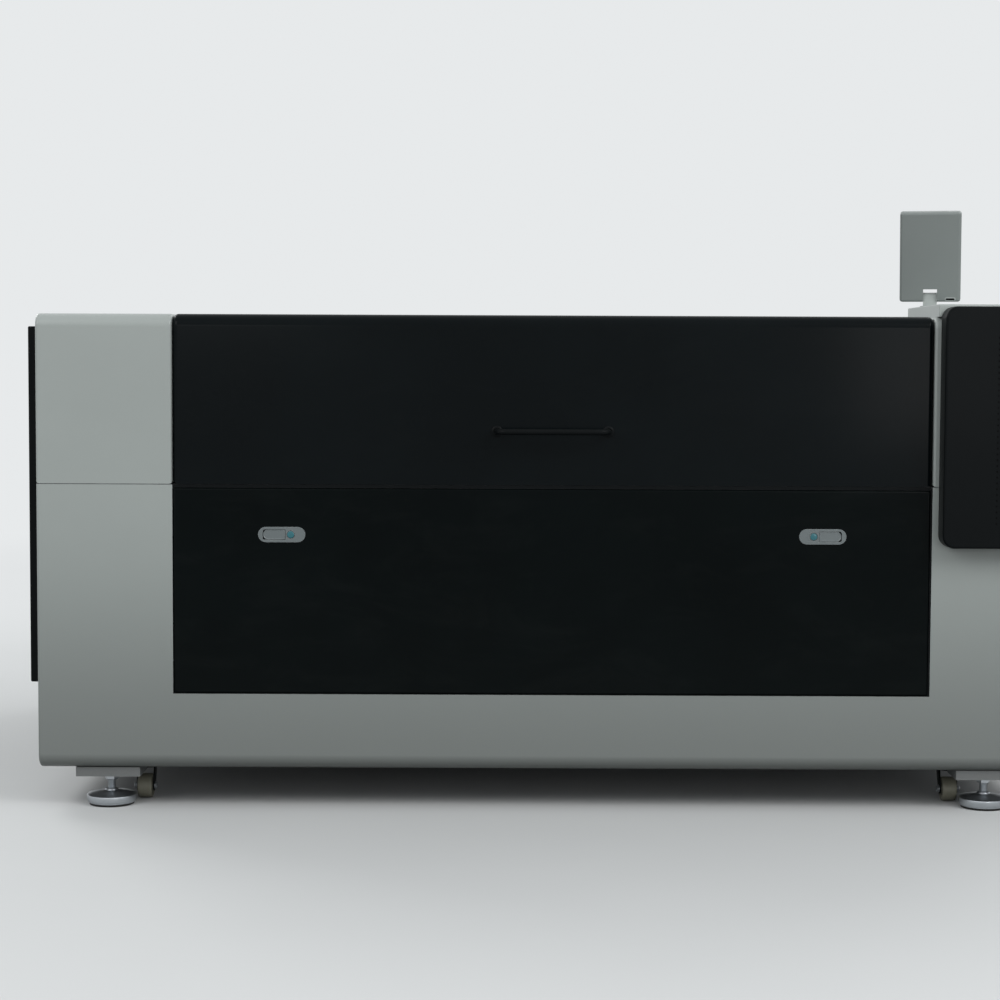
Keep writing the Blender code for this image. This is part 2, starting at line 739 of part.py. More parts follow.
def make_top_covers():
    """The white covers left, right and behind the lid; the left and right ones bear the spring studs."""
    z = (SEAM_HEIGHT, HOUSING_TOP)
    both = (((("front", "top"), ("rear", "top")), FRONT_FOLD_RADIUS, FOLD_STEPS),)
    rear_only = (((("rear", "top"),), FRONT_FOLD_RADIUS, FOLD_STEPS),)
    left = top_cover("left_top_cover", (-HALF_WIDTH, INNER_LEFT), (FRONT, REAR), z, both)
    right = top_cover("right_top_cover", (INNER_RIGHT, HALF_WIDTH), (FRONT, REAR), z, both)
    top_cover("rear_top_cover", (INNER_LEFT + WELD, INNER_RIGHT - WELD), (HINGE_Y + WELD, REAR), z, rear_only)
    for cover, wall_x, side in ((left, INNER_LEFT, -1), (right, INNER_RIGHT, 1)):
        start = (wall_x + side * WELD, *spring_low_place())
        length = -side * (SPRING_SIDE_GAP + SPRING_EYE_WIDTH / 2 + WELD)
        join(cover, rod("spring_stud", SPRING_STUD_RADIUS, start, "X", length, SMALL_STEPS))


def top_cover(name, x, y, z, folds):
    """A cover folded from sheet, with a flange round its open bottom."""
    cover = folded_case(name, x, y, z, (), folds, EDGE_RADIUS, MATERIALS["white"])
    inset = EDGE_RADIUS + FLANGE_WIDTH
    open_x = (x[0] + inset, x[1] - inset)
    open_y = (y[0] + inset, y[1] - inset)
    return cut(cover, block("cover_opening", open_x, open_y, (z[0] - OVERRUN, z[0] + OVERRUN)))


def spring_low_place():
    return (HINGE_Y - SPRING_LOW_SETBACK, SEAM_HEIGHT + SPRING_LOW_RISE)


def spring_high_place():
    return (HINGE_Y - SPRING_HIGH_REACH, HINGE_Z - SPRING_HIGH_DROP)


def make_lid():
    """Front and top of the work space in one folded panel, with flanges, handle and hinge leaf."""
    x = (INNER_LEFT + REVEAL, INNER_RIGHT - REVEAL)
    y = (FRONT, HINGE_Y - WELD)
    fold = (((("front", "top"),), FRONT_FOLD_RADIUS, FOLD_STEPS),)
    panel = folded_case(
        "lid_panel", x, y, (SEAM_HEIGHT, HOUSING_TOP), ("rear",), fold, LID_EDGE_RADIUS, MATERIALS["black"],
    )
    cut(panel, block(
        "lid_inside", (x[0] - OVERRUN, x[1] + OVERRUN), (FRONT + LID_FLANGE, HINGE_Y + OVERRUN),
        (SEAM_HEIGHT - OVERRUN, HOUSING_TOP - LID_FLANGE),
    ))
    high_y, high_z = spring_high_place()
    for wall_x, side in ((x[0], -1), (x[1], 1)):
        tab_x = sorted((wall_x, wall_x - side * SHEET))
        tab_z = (high_z - SPRING_EYE_RADIUS, HOUSING_TOP - LID_FLANGE + WELD)
        join(panel, block("spring_tab", tab_x, (high_y - SPRING_EYE_RADIUS, high_y + SPRING_EYE_RADIUS), tab_z))
        start = (wall_x - side * WELD, high_y, high_z)
        length = -side * (SPRING_SIDE_GAP - REVEAL - SPRING_EYE_WIDTH / 2 - SEAT_GAP - WELD)
        join(panel, rod("lid_stud", SPRING_STUD_RADIUS, start, "X", length))
    centre = (x[0] + x[1]) / 2
    half = LID_HANDLE_LENGTH / 2
    back = FRONT - SEAT_GAP
    path = bow(centre - half, centre + half, back, FRONT - LID_HANDLE_REACH, LID_HANDLE_BEND)
    points = [(px, py, LID_HANDLE_HEIGHT) for px, py in path]
    handle = bar("lid_handle", points, LID_HANDLE_RADIUS, 2, MATERIALS["satin_black"])
    for side in (-1, 1):
        place = (centre + side * half, back, LID_HANDLE_HEIGHT)
        join(handle, rod("handle_foot", LID_HANDLE_FOOT_RADIUS, place, "Y", -LID_HANDLE_FOOT_HEIGHT, SMALL_STEPS))
    leaf = hinge_leaf("lid_hinge_leaf", -1, 0)
    cut(leaf, bore("pin_bore", HINGE_PIN_RADIUS, (-HINGE_LENGTH, HINGE_Y, HINGE_Z), "X", HINGE_LENGTH * 2))
    hang(LID_JOINT, panel, handle, leaf)


def hinge_leaf(name, side, first):
    """One leaf of the long lid hinge: side -1 lies on the lid and 1 on the rear cover."""
    low = HOUSING_TOP + SEAT_GAP
    knuckle = HINGE_LENGTH / HINGE_KNUCKLES
    far = HINGE_Y + side * HINGE_LEAF_DEPTH
    near = HINGE_Y + side * (HINGE_BARREL_RADIUS + KNUCKLE_GAP)
    leaf = block(
        name, (-HINGE_LENGTH / 2, HINGE_LENGTH / 2), sorted((near, far)), (low, low + HINGE_LEAF_THICKNESS),
        MATERIALS["zinc"],
    )
    for index in range(first, HINGE_KNUCKLES, 2):
        start = -HINGE_LENGTH / 2 + index * knuckle + KNUCKLE_GAP / 2
        end = start + knuckle - KNUCKLE_GAP
        lug_y = sorted((HINGE_Y, near + side * WELD))
        join(
            leaf,
            rod("knuckle", HINGE_BARREL_RADIUS, (start, HINGE_Y, HINGE_Z), "X", end - start, SMALL_STEPS),
            block("lug", (start, end), lug_y, (low, low + HINGE_LEAF_THICKNESS)),
        )
    return leaf


def make_fixed_hinge_leaf():
    leaf = hinge_leaf("fixed_hinge_leaf", 1, 1)
    length = HINGE_LENGTH - KNUCKLE_GAP
    join(leaf, rod("hinge_pin", HINGE_PIN_RADIUS, (-length / 2, HINGE_Y, HINGE_Z), "X", length, SMALL_STEPS))


def make_gas_springs():
    """A cylinder on the cover's stud and a rod that reaches the lid's stud, on each side."""
    low_y, low_z = spring_low_place()
    high_y, high_z = spring_high_place()
    span = math.hypot(high_y - low_y, high_z - low_z)
    lean = math.atan2(high_z - low_z, low_y - high_y)
    for name, wall_x, side in (("left", INNER_LEFT, -1), ("right", INNER_RIGHT, 1)):
        x = wall_x - side * SPRING_SIDE_GAP
        turn = Matrix.Translation((x, low_y, low_z)) @ Matrix.Rotation(math.radians(90) - lean, 4, "X")
        tube_end = span * SPRING_TUBE_SHARE
        tube = rod(
            name + "_spring_cylinder", SPRING_TUBE_RADIUS, (0, 0, SPRING_EYE_CLEAR), "Z",
            tube_end - SPRING_EYE_CLEAR, SMALL_STEPS, None, MATERIALS["satin_black"],
        )
        neck = (0, 0, SPRING_EYE_RADIUS / 2)
        half_eye = SPRING_EYE_WIDTH / 2
        fittings = [
            rod("spring_neck", SPRING_ROD_RADIUS, neck, "Z", SPRING_EYE_CLEAR, SMALL_STEPS),
            rod("spring_eye", SPRING_EYE_RADIUS, (-half_eye, 0, 0), "X", SPRING_EYE_WIDTH, SMALL_STEPS),
        ]
        holes = [
            bore("eye_bore", SPRING_STUD_RADIUS, (-OVERRUN, 0, 0), "X", OVERRUN * 2),
            bore("rod_bore", SPRING_ROD_RADIUS, (0, 0, SPRING_EYE_CLEAR * 2), "Z", span),
        ]
        join(tube, *fittings)
        cut(tube, *holes)
        stem = rod(
            name + "_spring_rod", SPRING_ROD_RADIUS, (0, 0, SPRING_EYE_CLEAR * 3), "Z",
            span - SPRING_EYE_CLEAR * 3, SMALL_STEPS, None, MATERIALS["zinc"],
        )
        rod_eye = rod("rod_eye", SPRING_EYE_RADIUS, (-half_eye, 0, span), "X", SPRING_EYE_WIDTH, SMALL_STEPS)
        join(stem, rod_eye)
        for thing in [tube, stem, rod_eye] + fittings + holes:
            thing.matrix_world = turn @ thing.matrix_world
        joint = joint_empty(name + "_spring_joint", (x, low_y, low_z))
        hang(joint, tube, stem, rod_eye, *fittings, *holes)


def make_drawer():
    """The scrap drawer: a front pan whose flanges seat on an open tray with a slide bar on each side."""
    x = (INNER_LEFT + REVEAL, INNER_RIGHT - DRAWER_RIGHT_GAP)
    pan_back = FRONT + DRAWER_PANEL_DEPTH
    face_edges = [("front", other) for other in ("top", "bottom", "left", "right")]
    front = folded_case(
        "drawer_front", x, (FRONT, pan_back), (DRAWER_LOW, DRAWER_HIGH), (),
        ((face_edges, DRAWER_PANEL_RADIUS, 2),), 0, MATERIALS["black"],
    )
    cut(front, block(
        "pan_opening", (x[0] + DRAWER_FLANGE, x[1] - DRAWER_FLANGE), (pan_back - OVERRUN, pan_back + OVERRUN),
        (DRAWER_LOW + DRAWER_FLANGE, DRAWER_HIGH - DRAWER_FLANGE),
    ))
    for latch_x in (LEFT_LATCH_X, RIGHT_LATCH_X):
        length = LATCH_LENGTH - LATCH_BODY_INSET * 2 + SEAT_GAP * 2
        height = LATCH_HEIGHT - LATCH_BODY_INSET * 2 + SEAT_GAP * 2
        cut(front, plate("latch_opening", pill(length, height), "XZ", OVERRUN * 2, (latch_x, FRONT, LATCH_Z)))
    tray_low = DRAWER_LOW + TRAY_FLOOR_RISE
    tray_y = pan_back + SEAT_GAP
    tray_folds = (((("front", "bottom"), ("rear", "bottom")), TRAY_RADIUS, 3),)
    tray = folded_case(
        "drawer_tray", (-TRAY_HALF_WIDTH, TRAY_HALF_WIDTH), (tray_y, tray_y + TRAY_DEPTH),
        (tray_low, tray_low + TRAY_HEIGHT), ("top",), tray_folds, TRAY_RADIUS / 2, MATERIALS["frame"],
    )
    runner_low = DRAWER_LOW + RUNNER_RISE
    slot = (runner_low + RUNNER_WALL + SLIDE_GAP, runner_low + RUNNER_HEIGHT - RUNNER_WALL - SLIDE_GAP)
    reach = INNER_POST_X - SEAT_GAP - RUNNER_WIDTH + SLIDE_OVERLAP
    for side in (-1, 1):
        join(tray, block(
            "slide_bar", mirrored(TRAY_HALF_WIDTH - WELD, reach, side),
            (tray_y + OVERRUN * 2, tray_y + TRAY_DEPTH - OVERRUN * 2), slot,
        ))
    hang(DRAWER_JOINT, front, tray)


def make_drawer_runners():
    low = DRAWER_LOW + RUNNER_RISE
    back = INNER_POST_X - SEAT_GAP
    y = (FRONT + RUNNER_SETBACK, REAR - SHEET - SEAT_GAP)
    for name, side in (("left_drawer_runner", -1), ("right_drawer_runner", 1)):
        x = mirrored(back - RUNNER_WIDTH, back, side)
        runner = block(name, x, y, (low, low + RUNNER_HEIGHT), MATERIALS["zinc"])
        cut(runner, block(
            "runner_slot", mirrored(back - RUNNER_WIDTH - OVERRUN, back - RUNNER_WALL, side),
            (y[0] - OVERRUN, y[1] + OVERRUN), (low + RUNNER_WALL, low + RUNNER_HEIGHT - RUNNER_WALL),
        ))


def make_latch(name, x, side):
    """A flush latch: pill bezel with a pocket, a paddle hinged at its outer end and a push button."""
    face = FRONT - LATCH_LIP
    body_length = LATCH_LENGTH - LATCH_BODY_INSET * 2
    body_height = LATCH_HEIGHT - LATCH_BODY_INSET * 2
    lip_place = (x, FRONT - LATCH_LIP / 2 - SEAT_GAP, LATCH_Z)
    lip = pill(LATCH_LENGTH, LATCH_HEIGHT)
    bezel = plate(name + "_latch_bezel", lip, "XZ", LATCH_LIP, lip_place, MATERIALS["grey"])
    body_y = FRONT - SEAT_GAP - WELD + LATCH_BODY_DEPTH / 2
    body = pill(body_length, body_height)
    join(bezel, plate("latch_body", body, "XZ", LATCH_BODY_DEPTH, (x, body_y, LATCH_Z)))
    pocket_height = body_height - LATCH_WALL * 2
    outer_end = x + side * (LATCH_LENGTH / 2 - LATCH_BORDER - LATCH_WALL)
    button_x = x - side * LATCH_BUTTON_OFFSET
    pocket_end = button_x + side * (LATCH_BUTTON_RADIUS + LATCH_WALL)
    pocket_y = (face - OVERRUN, FRONT + LATCH_BODY_DEPTH - LATCH_WALL * 2)
    pocket_z = (LATCH_Z - pocket_height / 2, LATCH_Z + pocket_height / 2)
    bore_start = (button_x, face - OVERRUN, LATCH_Z)
    cut(
        bezel,
        block("latch_pocket", sorted((pocket_end, outer_end)), pocket_y, pocket_z),
        bore("button_bore", LATCH_BUTTON_RADIUS, bore_start, "Y", OVERRUN * 2 + LATCH_BODY_DEPTH),
    )
    pivot_x = outer_end - side * LATCH_PIVOT_INSET
    pivot_y = FRONT + LATCH_PIVOT_DEPTH
    half = pocket_height / 2 - LATCH_PADDLE_SIDE_GAP
    heel = pivot_x + side * (LATCH_PIVOT_INSET - LATCH_BORDER)
    toe = pocket_end + side * LATCH_PADDLE_SIDE_GAP
    paddle = block(
        name + "_latch_paddle", sorted((toe, heel)), (face, face + LATCH_PADDLE_THICKNESS),
        (LATCH_Z - half, LATCH_Z + half), MATERIALS["grey"],
    )
    trunnion = pocket_height / 2 - SEAT_GAP
    join(paddle, rod(
        "trunnion", LATCH_PIVOT_RADIUS, (pivot_x, pivot_y, LATCH_Z - trunnion), "Z", trunnion * 2, SMALL_STEPS,
    ))
    hang(joint_empty(name + "_paddle_joint", (pivot_x, pivot_y, LATCH_Z), DRAWER_JOINT), paddle)
    button_start = face - LATCH_BUTTON_PROUD
    button = rod(
        name + "_latch_button", LATCH_BUTTON_RADIUS, (button_x, button_start, LATCH_Z), "Y",
        LATCH_BODY_DEPTH - LATCH_WALL, SMALL_STEPS, None, MATERIALS["teal"],
    )
    hang(joint_empty(name + "_button_joint", (button_x, button_start, LATCH_Z), DRAWER_JOINT), button)
    hang(DRAWER_JOINT, bezel)


def make_slat_bed():
    """Two long bars that carry upright slats, each with a row of teeth that the sheet rests on."""
    low = SUPPORT_TOP + SEAT_GAP
    front = BEAM_FRONT + TUBE / 2
    rear = BEAM_REAR - TUBE / 2
    bar_x = (-BED_HALF_WIDTH, BED_HALF_WIDTH)
    bar_z = (low, low + BED_BAR_HEIGHT)
    bed = block("slat_bed", bar_x, (front, front + BED_BAR_THICKNESS), bar_z, MATERIALS["steel"])
    join(bed, block("bed_rear_bar", bar_x, (rear - BED_BAR_THICKNESS, rear), bar_z))
    outline = slat_outline(rear - front - WELD * 2)
    pitch = (BED_HALF_WIDTH * 2 - TUBE) / (SLAT_COUNT - 1)
    for index in range(SLAT_COUNT):
        x = (index - (SLAT_COUNT - 1) / 2) * pitch
        join(bed, plate("slat", outline, "YZ", SLAT_THICKNESS, (x, front + WELD, low + SLAT_FLOOR_GAP)))
    return bed


def slat_outline(length):
    """The outline of a slat: a straight foot and a row of pointed teeth."""
    pitch = length / TOOTH_COUNT
    root = SLAT_HEIGHT - TOOTH_DEPTH
    points = [(length, 0), (length, root)]
    for index in reversed(range(TOOTH_COUNT)):
        points += [((index + 0.5) * pitch, SLAT_HEIGHT), (index * pitch, root)]
    points.append((0, 0))
    return points


def make_rail_beams():
    """A beam with a linear guide on top at each side of the bed."""
    base = SUPPORT_TOP + SEAT_GAP
    for name, side in (("left_rail_beam", -1), ("right_rail_beam", 1)):
        x = side * BEAM_OFFSET
        y = (BEAM_FRONT, BEAM_REAR)
        half = RAIL_BEAM_WIDTH / 2
        beam = block(name, (x - half, x + half), y, (base, GUIDE_BASE), MATERIALS["aluminium"])
        guide = (x - GUIDE_WIDTH / 2, x + GUIDE_WIDTH / 2)
        join(beam, block("guide", guide, y, (GUIDE_BASE - WELD, GUIDE_BASE + GUIDE_HEIGHT)))


def make_gantry():
    """The gantry beam on two carriages, with guides for the head along its front."""
    beam_z = (GANTRY_LOW, GANTRY_LOW + GANTRY_HEIGHT)
    beam = block(
        "gantry_beam", (-BEAM_OFFSET, BEAM_OFFSET), (GANTRY_FRONT, GANTRY_REAR), beam_z, MATERIALS["aluminium"],
    )
    middle_y = (GANTRY_FRONT + GANTRY_REAR) / 2
    carriage_low = GUIDE_BASE + RUNNING_GAP
    for side in (-1, 1):
        x = side * BEAM_OFFSET
        half = CARRIAGE_WIDTH / 2
        y = (middle_y - CARRIAGE_LENGTH / 2, middle_y + CARRIAGE_LENGTH / 2)
        join(beam, block("carriage", (x - half, x + half), y, (carriage_low, GANTRY_LOW + WELD)))
        groove = GUIDE_WIDTH / 2 + RUNNING_GAP
        cut(beam, block(
            "carriage_groove", (x - groove, x + groove), (y[0] - OVERRUN, y[1] + OVERRUN),
            (carriage_low - OVERRUN, GUIDE_BASE + GUIDE_HEIGHT + RUNNING_GAP),
        ))
    reach = BEAM_OFFSET - CARRIAGE_WIDTH / 2
    for guide_z in head_guide_heights():
        join(beam, block(
            "head_guide", (-reach, reach), (GANTRY_FRONT - GUIDE_HEIGHT, GANTRY_FRONT + WELD),
            (guide_z - GUIDE_WIDTH / 2, guide_z + GUIDE_WIDTH / 2),
        ))
    hang(GANTRY_JOINT, beam)


def head_guide_heights():
    middle = GANTRY_LOW + GANTRY_HEIGHT / 2
    spread = GANTRY_HEIGHT / 2 - GUIDE_WIDTH
    return (middle - spread, middle + spread)


def make_head():
    """The head carriage on the beam's guides and the cutting head that it raises and lowers."""
    back = GANTRY_FRONT - RUNNING_GAP
    plate_front = back - HEAD_PLATE_THICKNESS
    middle_z = GANTRY_LOW + GANTRY_HEIGHT / 2
    half = HEAD_PLATE_WIDTH / 2
    z = (middle_z - HEAD_PLATE_HEIGHT / 2, middle_z + HEAD_PLATE_HEIGHT / 2)
    carriage = block("head_carriage", (-half, half), (plate_front, back), z, MATERIALS["aluminium"])
    groove = GUIDE_WIDTH / 2 + RUNNING_GAP
    for guide_z in head_guide_heights():
        cut(carriage, block(
            "guide_groove", (-half - OVERRUN, half + OVERRUN),
            (GANTRY_FRONT - GUIDE_HEIGHT - RUNNING_GAP, back + OVERRUN), (guide_z - groove, guide_z + groove),
        ))
    hang(HEAD_JOINT, carriage)
    rear = plate_front - SEAT_GAP
    axis_y = rear - HEAD_BACK_DEPTH
    tip = SLAT_TOP + NOZZLE_RAISE
    radius = HEAD_RADIUS
    cap = radius * HEAD_CAP_SHARE
    collar = radius * HEAD_COLLAR_SHARE
    neck = radius * HEAD_TIP_SHARE
    heights = [share * HEAD_HEIGHT for share in HEAD_HEIGHT_SHARES]
    profile = [
        (0, heights[0]), (cap, heights[0]), (cap, heights[1]), (radius, heights[2]),
        (radius, heights[3]), (collar, heights[3]), (collar, heights[4]), (radius, heights[4]),
        (radius, heights[5]), (neck, heights[6]), (neck, heights[7]), (NOZZLE_RADIUS * 2, heights[7]),
        (NOZZLE_RADIUS, 0), (NOZZLE_BORE, 0), (NOZZLE_BORE, heights[7]), (0, heights[7]),
    ]
    head = turned("cutting_head", profile, (0, axis_y, tip), "Z", WHEEL_STEPS, False, MATERIALS["satin_black"])
    half_back = HEAD_BACK_WIDTH / 2
    join(head, block(
        "head_back", (-half_back, half_back), (axis_y, rear), (tip + heights[5], tip + heights[2]),
    ))
    hang(NOZZLE_JOINT, head)


def make_laser_source():
    """The laser's rack case in the left bay, on the bottom rails, with handles on its front."""
    outer = -(POST_FACE_X - LASER_OUTER_GAP)
    x = (outer, outer + LASER_WIDTH)
    y = (-LASER_DEPTH / 2, LASER_DEPTH / 2)
    z = (RAIL_HIGH + SEAT_GAP, RAIL_HIGH + SEAT_GAP + LASER_HEIGHT)
    source = block("laser_source", x, y, z, MATERIALS["satin_black"])
    bevel = source.modifiers.new("edges", "BEVEL")
    bevel.width = LASER_EDGE
    bevel.segments = 1
    inset = LASER_HANDLE_INSET
    for handle_x in (x[0] + inset, x[1] - inset):
        ends = (z[0] + LASER_HEIGHT / 4, z[1] - LASER_HEIGHT / 4)
        path = bow(*ends, y[0] + WELD, y[0] - LASER_HANDLE_REACH, LASER_HANDLE_BEND)
        join(source, bar("source_handle", [(handle_x, py, pz) for pz, py in path], LASER_HANDLE_RADIUS, 1))


def make_electrical_plate():
    """The mounting plate of the right bay on the inner posts, with a row of drives."""
    face = INNER_POST_X + TUBE + SEAT_GAP
    low = RAIL_HIGH + PLATE_RISE
    sheet_x = (face, face + SHEET)
    plate_y = (-PLATE_DEPTH / 2, PLATE_DEPTH / 2)
    board = block("electrical_plate", sheet_x, plate_y, (low, low + PLATE_HEIGHT), MATERIALS["zinc"])
    ear_z = (low + PLATE_HEIGHT / 3, low + PLATE_HEIGHT * 2 / 3)
    for end in (-1, 1):
        reach = sorted((end * (PLATE_DEPTH / 2 - WELD), end * (POST_FACE_Y - WELD)))
        join(board, block("plate_ear", sheet_x, reach, ear_z))
    for index in range(DRIVE_COUNT):
        y = (index - (DRIVE_COUNT - 1) / 2) * DRIVE_PITCH
        z = low + (PLATE_HEIGHT - DRIVE_HEIGHT) / 2
        join(board, block(
            "drive", (face + SHEET - WELD, face + DRIVE_DEPTH), (y - DRIVE_WIDTH / 2, y + DRIVE_WIDTH / 2),
            (z, z + DRIVE_HEIGHT),
        ))


def make_foot(name, x, y):
    """A levelling foot: round pad on the floor, hub, threaded stud up into the frame, lock nut."""
    stud_top = PLATE_TOP + STUD_ENGAGEMENT
    rim = PAD_HEIGHT - PAD_RIM
    shoulder = PAD_HEIGHT + PAD_RIM
    hub_top = PAD_HEIGHT + HUB_HEIGHT
    profile = [
        (0, stud_top), (STUD_RADIUS, stud_top), (STUD_RADIUS, hub_top), (HUB_RADIUS, hub_top - PAD_RIM),
        (HUB_RADIUS + PAD_RIM, shoulder), (PAD_RADIUS - PAD_RIM, PAD_HEIGHT), (PAD_RADIUS, rim),
        (PAD_FLOOR_RADIUS, 0), (0, 0),
    ]
    foot = turned(name, profile, (x, y, 0), "Z", FOOT_STEPS, False, MATERIALS["zinc"])
    nut_place = (x, y, FOOT_PLATE_LOW - SEAT_GAP - NUT_HEIGHT)
    join(foot, rod("lock_nut", NUT_RADIUS, nut_place, "Z", NUT_HEIGHT, 6))


def make_caster(name, x, y):
    """A swivel caster: fork with its axle bolt on the frame's kingpin, and a nylon wheel."""
    axle_y = y - CASTER_TRAIL
    crown_high = CASTER_PLATE_LOW - SEAT_GAP
    crown_low = crown_high - CASTER_CROWN_HEIGHT
    fork = rod(
        name + "_fork", CASTER_CROWN_RADIUS, (x, y, crown_low), "Z", CASTER_CROWN_HEIGHT, WHEEL_STEPS, None,
        MATERIALS["satin_black"],
    )
    leg_middle = WHEEL_WIDTH / 2 + FORK_SIDE_GAP + FORK_LEG / 2
    outline = [(CASTER_CROWN_RADIUS / 2, crown_low + WELD), (-CASTER_TRAIL, crown_low + WELD)]
    outline += arc((-CASTER_TRAIL, AXLE_HEIGHT), FORK_EYE_RADIUS, 180, 360, FOLD_STEPS)
    for side in (-1, 1):
        leg_x = x + side * leg_middle
        join(fork, plate("fork_leg", outline, "YZ", FORK_LEG, (leg_x, y, 0)))
        head_start = leg_x + side * (FORK_LEG / 2 - SEAT_GAP)
        join(fork, rod(
            "axle_head", AXLE_HEAD_RADIUS, (head_start, axle_y, AXLE_HEIGHT), "X", side * AXLE_HEAD_HEIGHT, 6,
        ))
    join(fork, rod(
        "axle", AXLE_RADIUS, (x - leg_middle, axle_y, AXLE_HEIGHT), "X", leg_middle * 2, SMALL_STEPS,
    ))
    cut(fork, bore(
        "kingpin_bore", KINGPIN_RADIUS, (x, y, crown_low - OVERRUN), "Z", OVERRUN * 2 + CASTER_CROWN_HEIGHT,
    ))
    swivel = joint_empty(name + "_swivel", (x, y, crown_high))
    hang(swivel, fork)
    half = WHEEL_WIDTH / 2
    hole = bore_radius(AXLE_RADIUS, WHEEL_STEPS)
    hub = hole + WHEEL_RECESS
    tread = WHEEL_RADIUS - WHEEL_EDGE
    middle = (hub + tread) / 2
    ring = [
        (hole, half), (middle, half - WHEEL_RECESS), (tread, half), (WHEEL_RADIUS, half - WHEEL_EDGE),
        (WHEEL_RADIUS, WHEEL_EDGE - half), (tread, -half), (middle, WHEEL_RECESS - half), (hole, -half),
    ]
    wheel = turned(name + "_wheel", ring, (x, axle_y, AXLE_HEIGHT), "X", WHEEL_STEPS, True, MATERIALS["nylon"])
    hang(joint_empty(name + "_axle", (x, axle_y, AXLE_HEIGHT), swivel), wheel)


def make_console():
    """The raised console box on the right cover and the black control box on the right front."""
    riser_x = (INNER_RIGHT + RISER_INSET, HALF_WIDTH)
    riser_y = (FRONT + WELD, FRONT + RISER_DEPTH)
    riser_folds = (((("front", "top"), ("rear", "top")), RISER_RADIUS, 2),)
    folded_case(
        "console_riser", riser_x, riser_y, (HOUSING_TOP + SEAT_GAP, RISER_TOP), ("bottom",), riser_folds,
        RISER_RADIUS / 2, MATERIALS["white"],
    )
    box_x = (INNER_RIGHT + CONTROL_LEFT_INSET, HALF_WIDTH)
    corners = [(side, end) for side in ("left", "right") for end in ("bottom", "top")]
    box = folded_case(
        "control_box", box_x, (CONTROL_FACE, FRONT - SEAT_GAP), (CONTROL_LOW, CONTROL_TOP), ("rear",),
        ((corners, CONTROL_CORNER_RADIUS, FOLD_STEPS),), 0, MATERIALS["satin_black"],
    )
    for z in (STOP_HEIGHT, STOP_HEIGHT - START_DROP, STOP_HEIGHT - KEY_DROP):
        place = (CONTROL_X, CONTROL_FACE - OVERRUN, z)
        cut(box, bore("control_hole", SHAFT_RADIUS, place, "Y", OVERRUN * 2, WHEEL_STEPS))


def make_controls():
    """Emergency stop, start button and key switch, each on a shaft through the box's face."""
    profile = [(STOP_RADIUS * across, STOP_STAND + STOP_HEAD_HEIGHT * up) for across, up in STOP_HEAD_SHARES]
    profile += [(SHAFT_RADIUS, STOP_STAND), (SHAFT_RADIUS, -SHAFT_LENGTH), (0, -SHAFT_LENGTH)]
    outward = Matrix.Rotation(math.radians(90), 4, "X")
    place = Vector((CONTROL_X, CONTROL_FACE, STOP_HEIGHT))
    stop = turned("emergency_stop", profile, (0, 0, 0), "Z", WHEEL_STEPS, False, MATERIALS["red"])
    stop.matrix_world = Matrix.Translation(place) @ outward
    hang(joint_empty("stop_joint", place), stop)
    start_z = STOP_HEIGHT - START_DROP
    button = rod(
        "start_button", SHAFT_RADIUS, (CONTROL_X, CONTROL_FACE - START_PROUD, start_z), "Y",
        START_PROUD + SHAFT_LENGTH, WHEEL_STEPS, None, MATERIALS["green"],
    )
    hang(joint_empty("start_joint", (CONTROL_X, CONTROL_FACE, start_z)), button)
    key_z = STOP_HEIGHT - KEY_DROP
    key = rod(
        "key_switch", SHAFT_RADIUS, (CONTROL_X, CONTROL_FACE + SHAFT_LENGTH, key_z), "Y",
        -SHAFT_LENGTH - KEY_HEAD_HEIGHT, WHEEL_STEPS, None, MATERIALS["zinc"],
    )
    bow_start = CONTROL_FACE - KEY_HEAD_HEIGHT + WELD
    key_bow = block(
        "key_bow", (CONTROL_X - KEY_BOW_THICKNESS / 2, CONTROL_X + KEY_BOW_THICKNESS / 2),
        (bow_start - KEY_BOW_LENGTH, bow_start), (key_z - KEY_BOW_HEIGHT / 2, key_z + KEY_BOW_HEIGHT / 2),
    )
    key_head = rod(
        "key_head", KEY_HEAD_RADIUS, (CONTROL_X, CONTROL_FACE - SEAT_GAP, key_z), "Y",
        SEAT_GAP - KEY_HEAD_HEIGHT, WHEEL_STEPS,
    )
    join(key, key_head, key_bow)
    hang(joint_empty("key_joint", (CONTROL_X, CONTROL_FACE, key_z)), key)


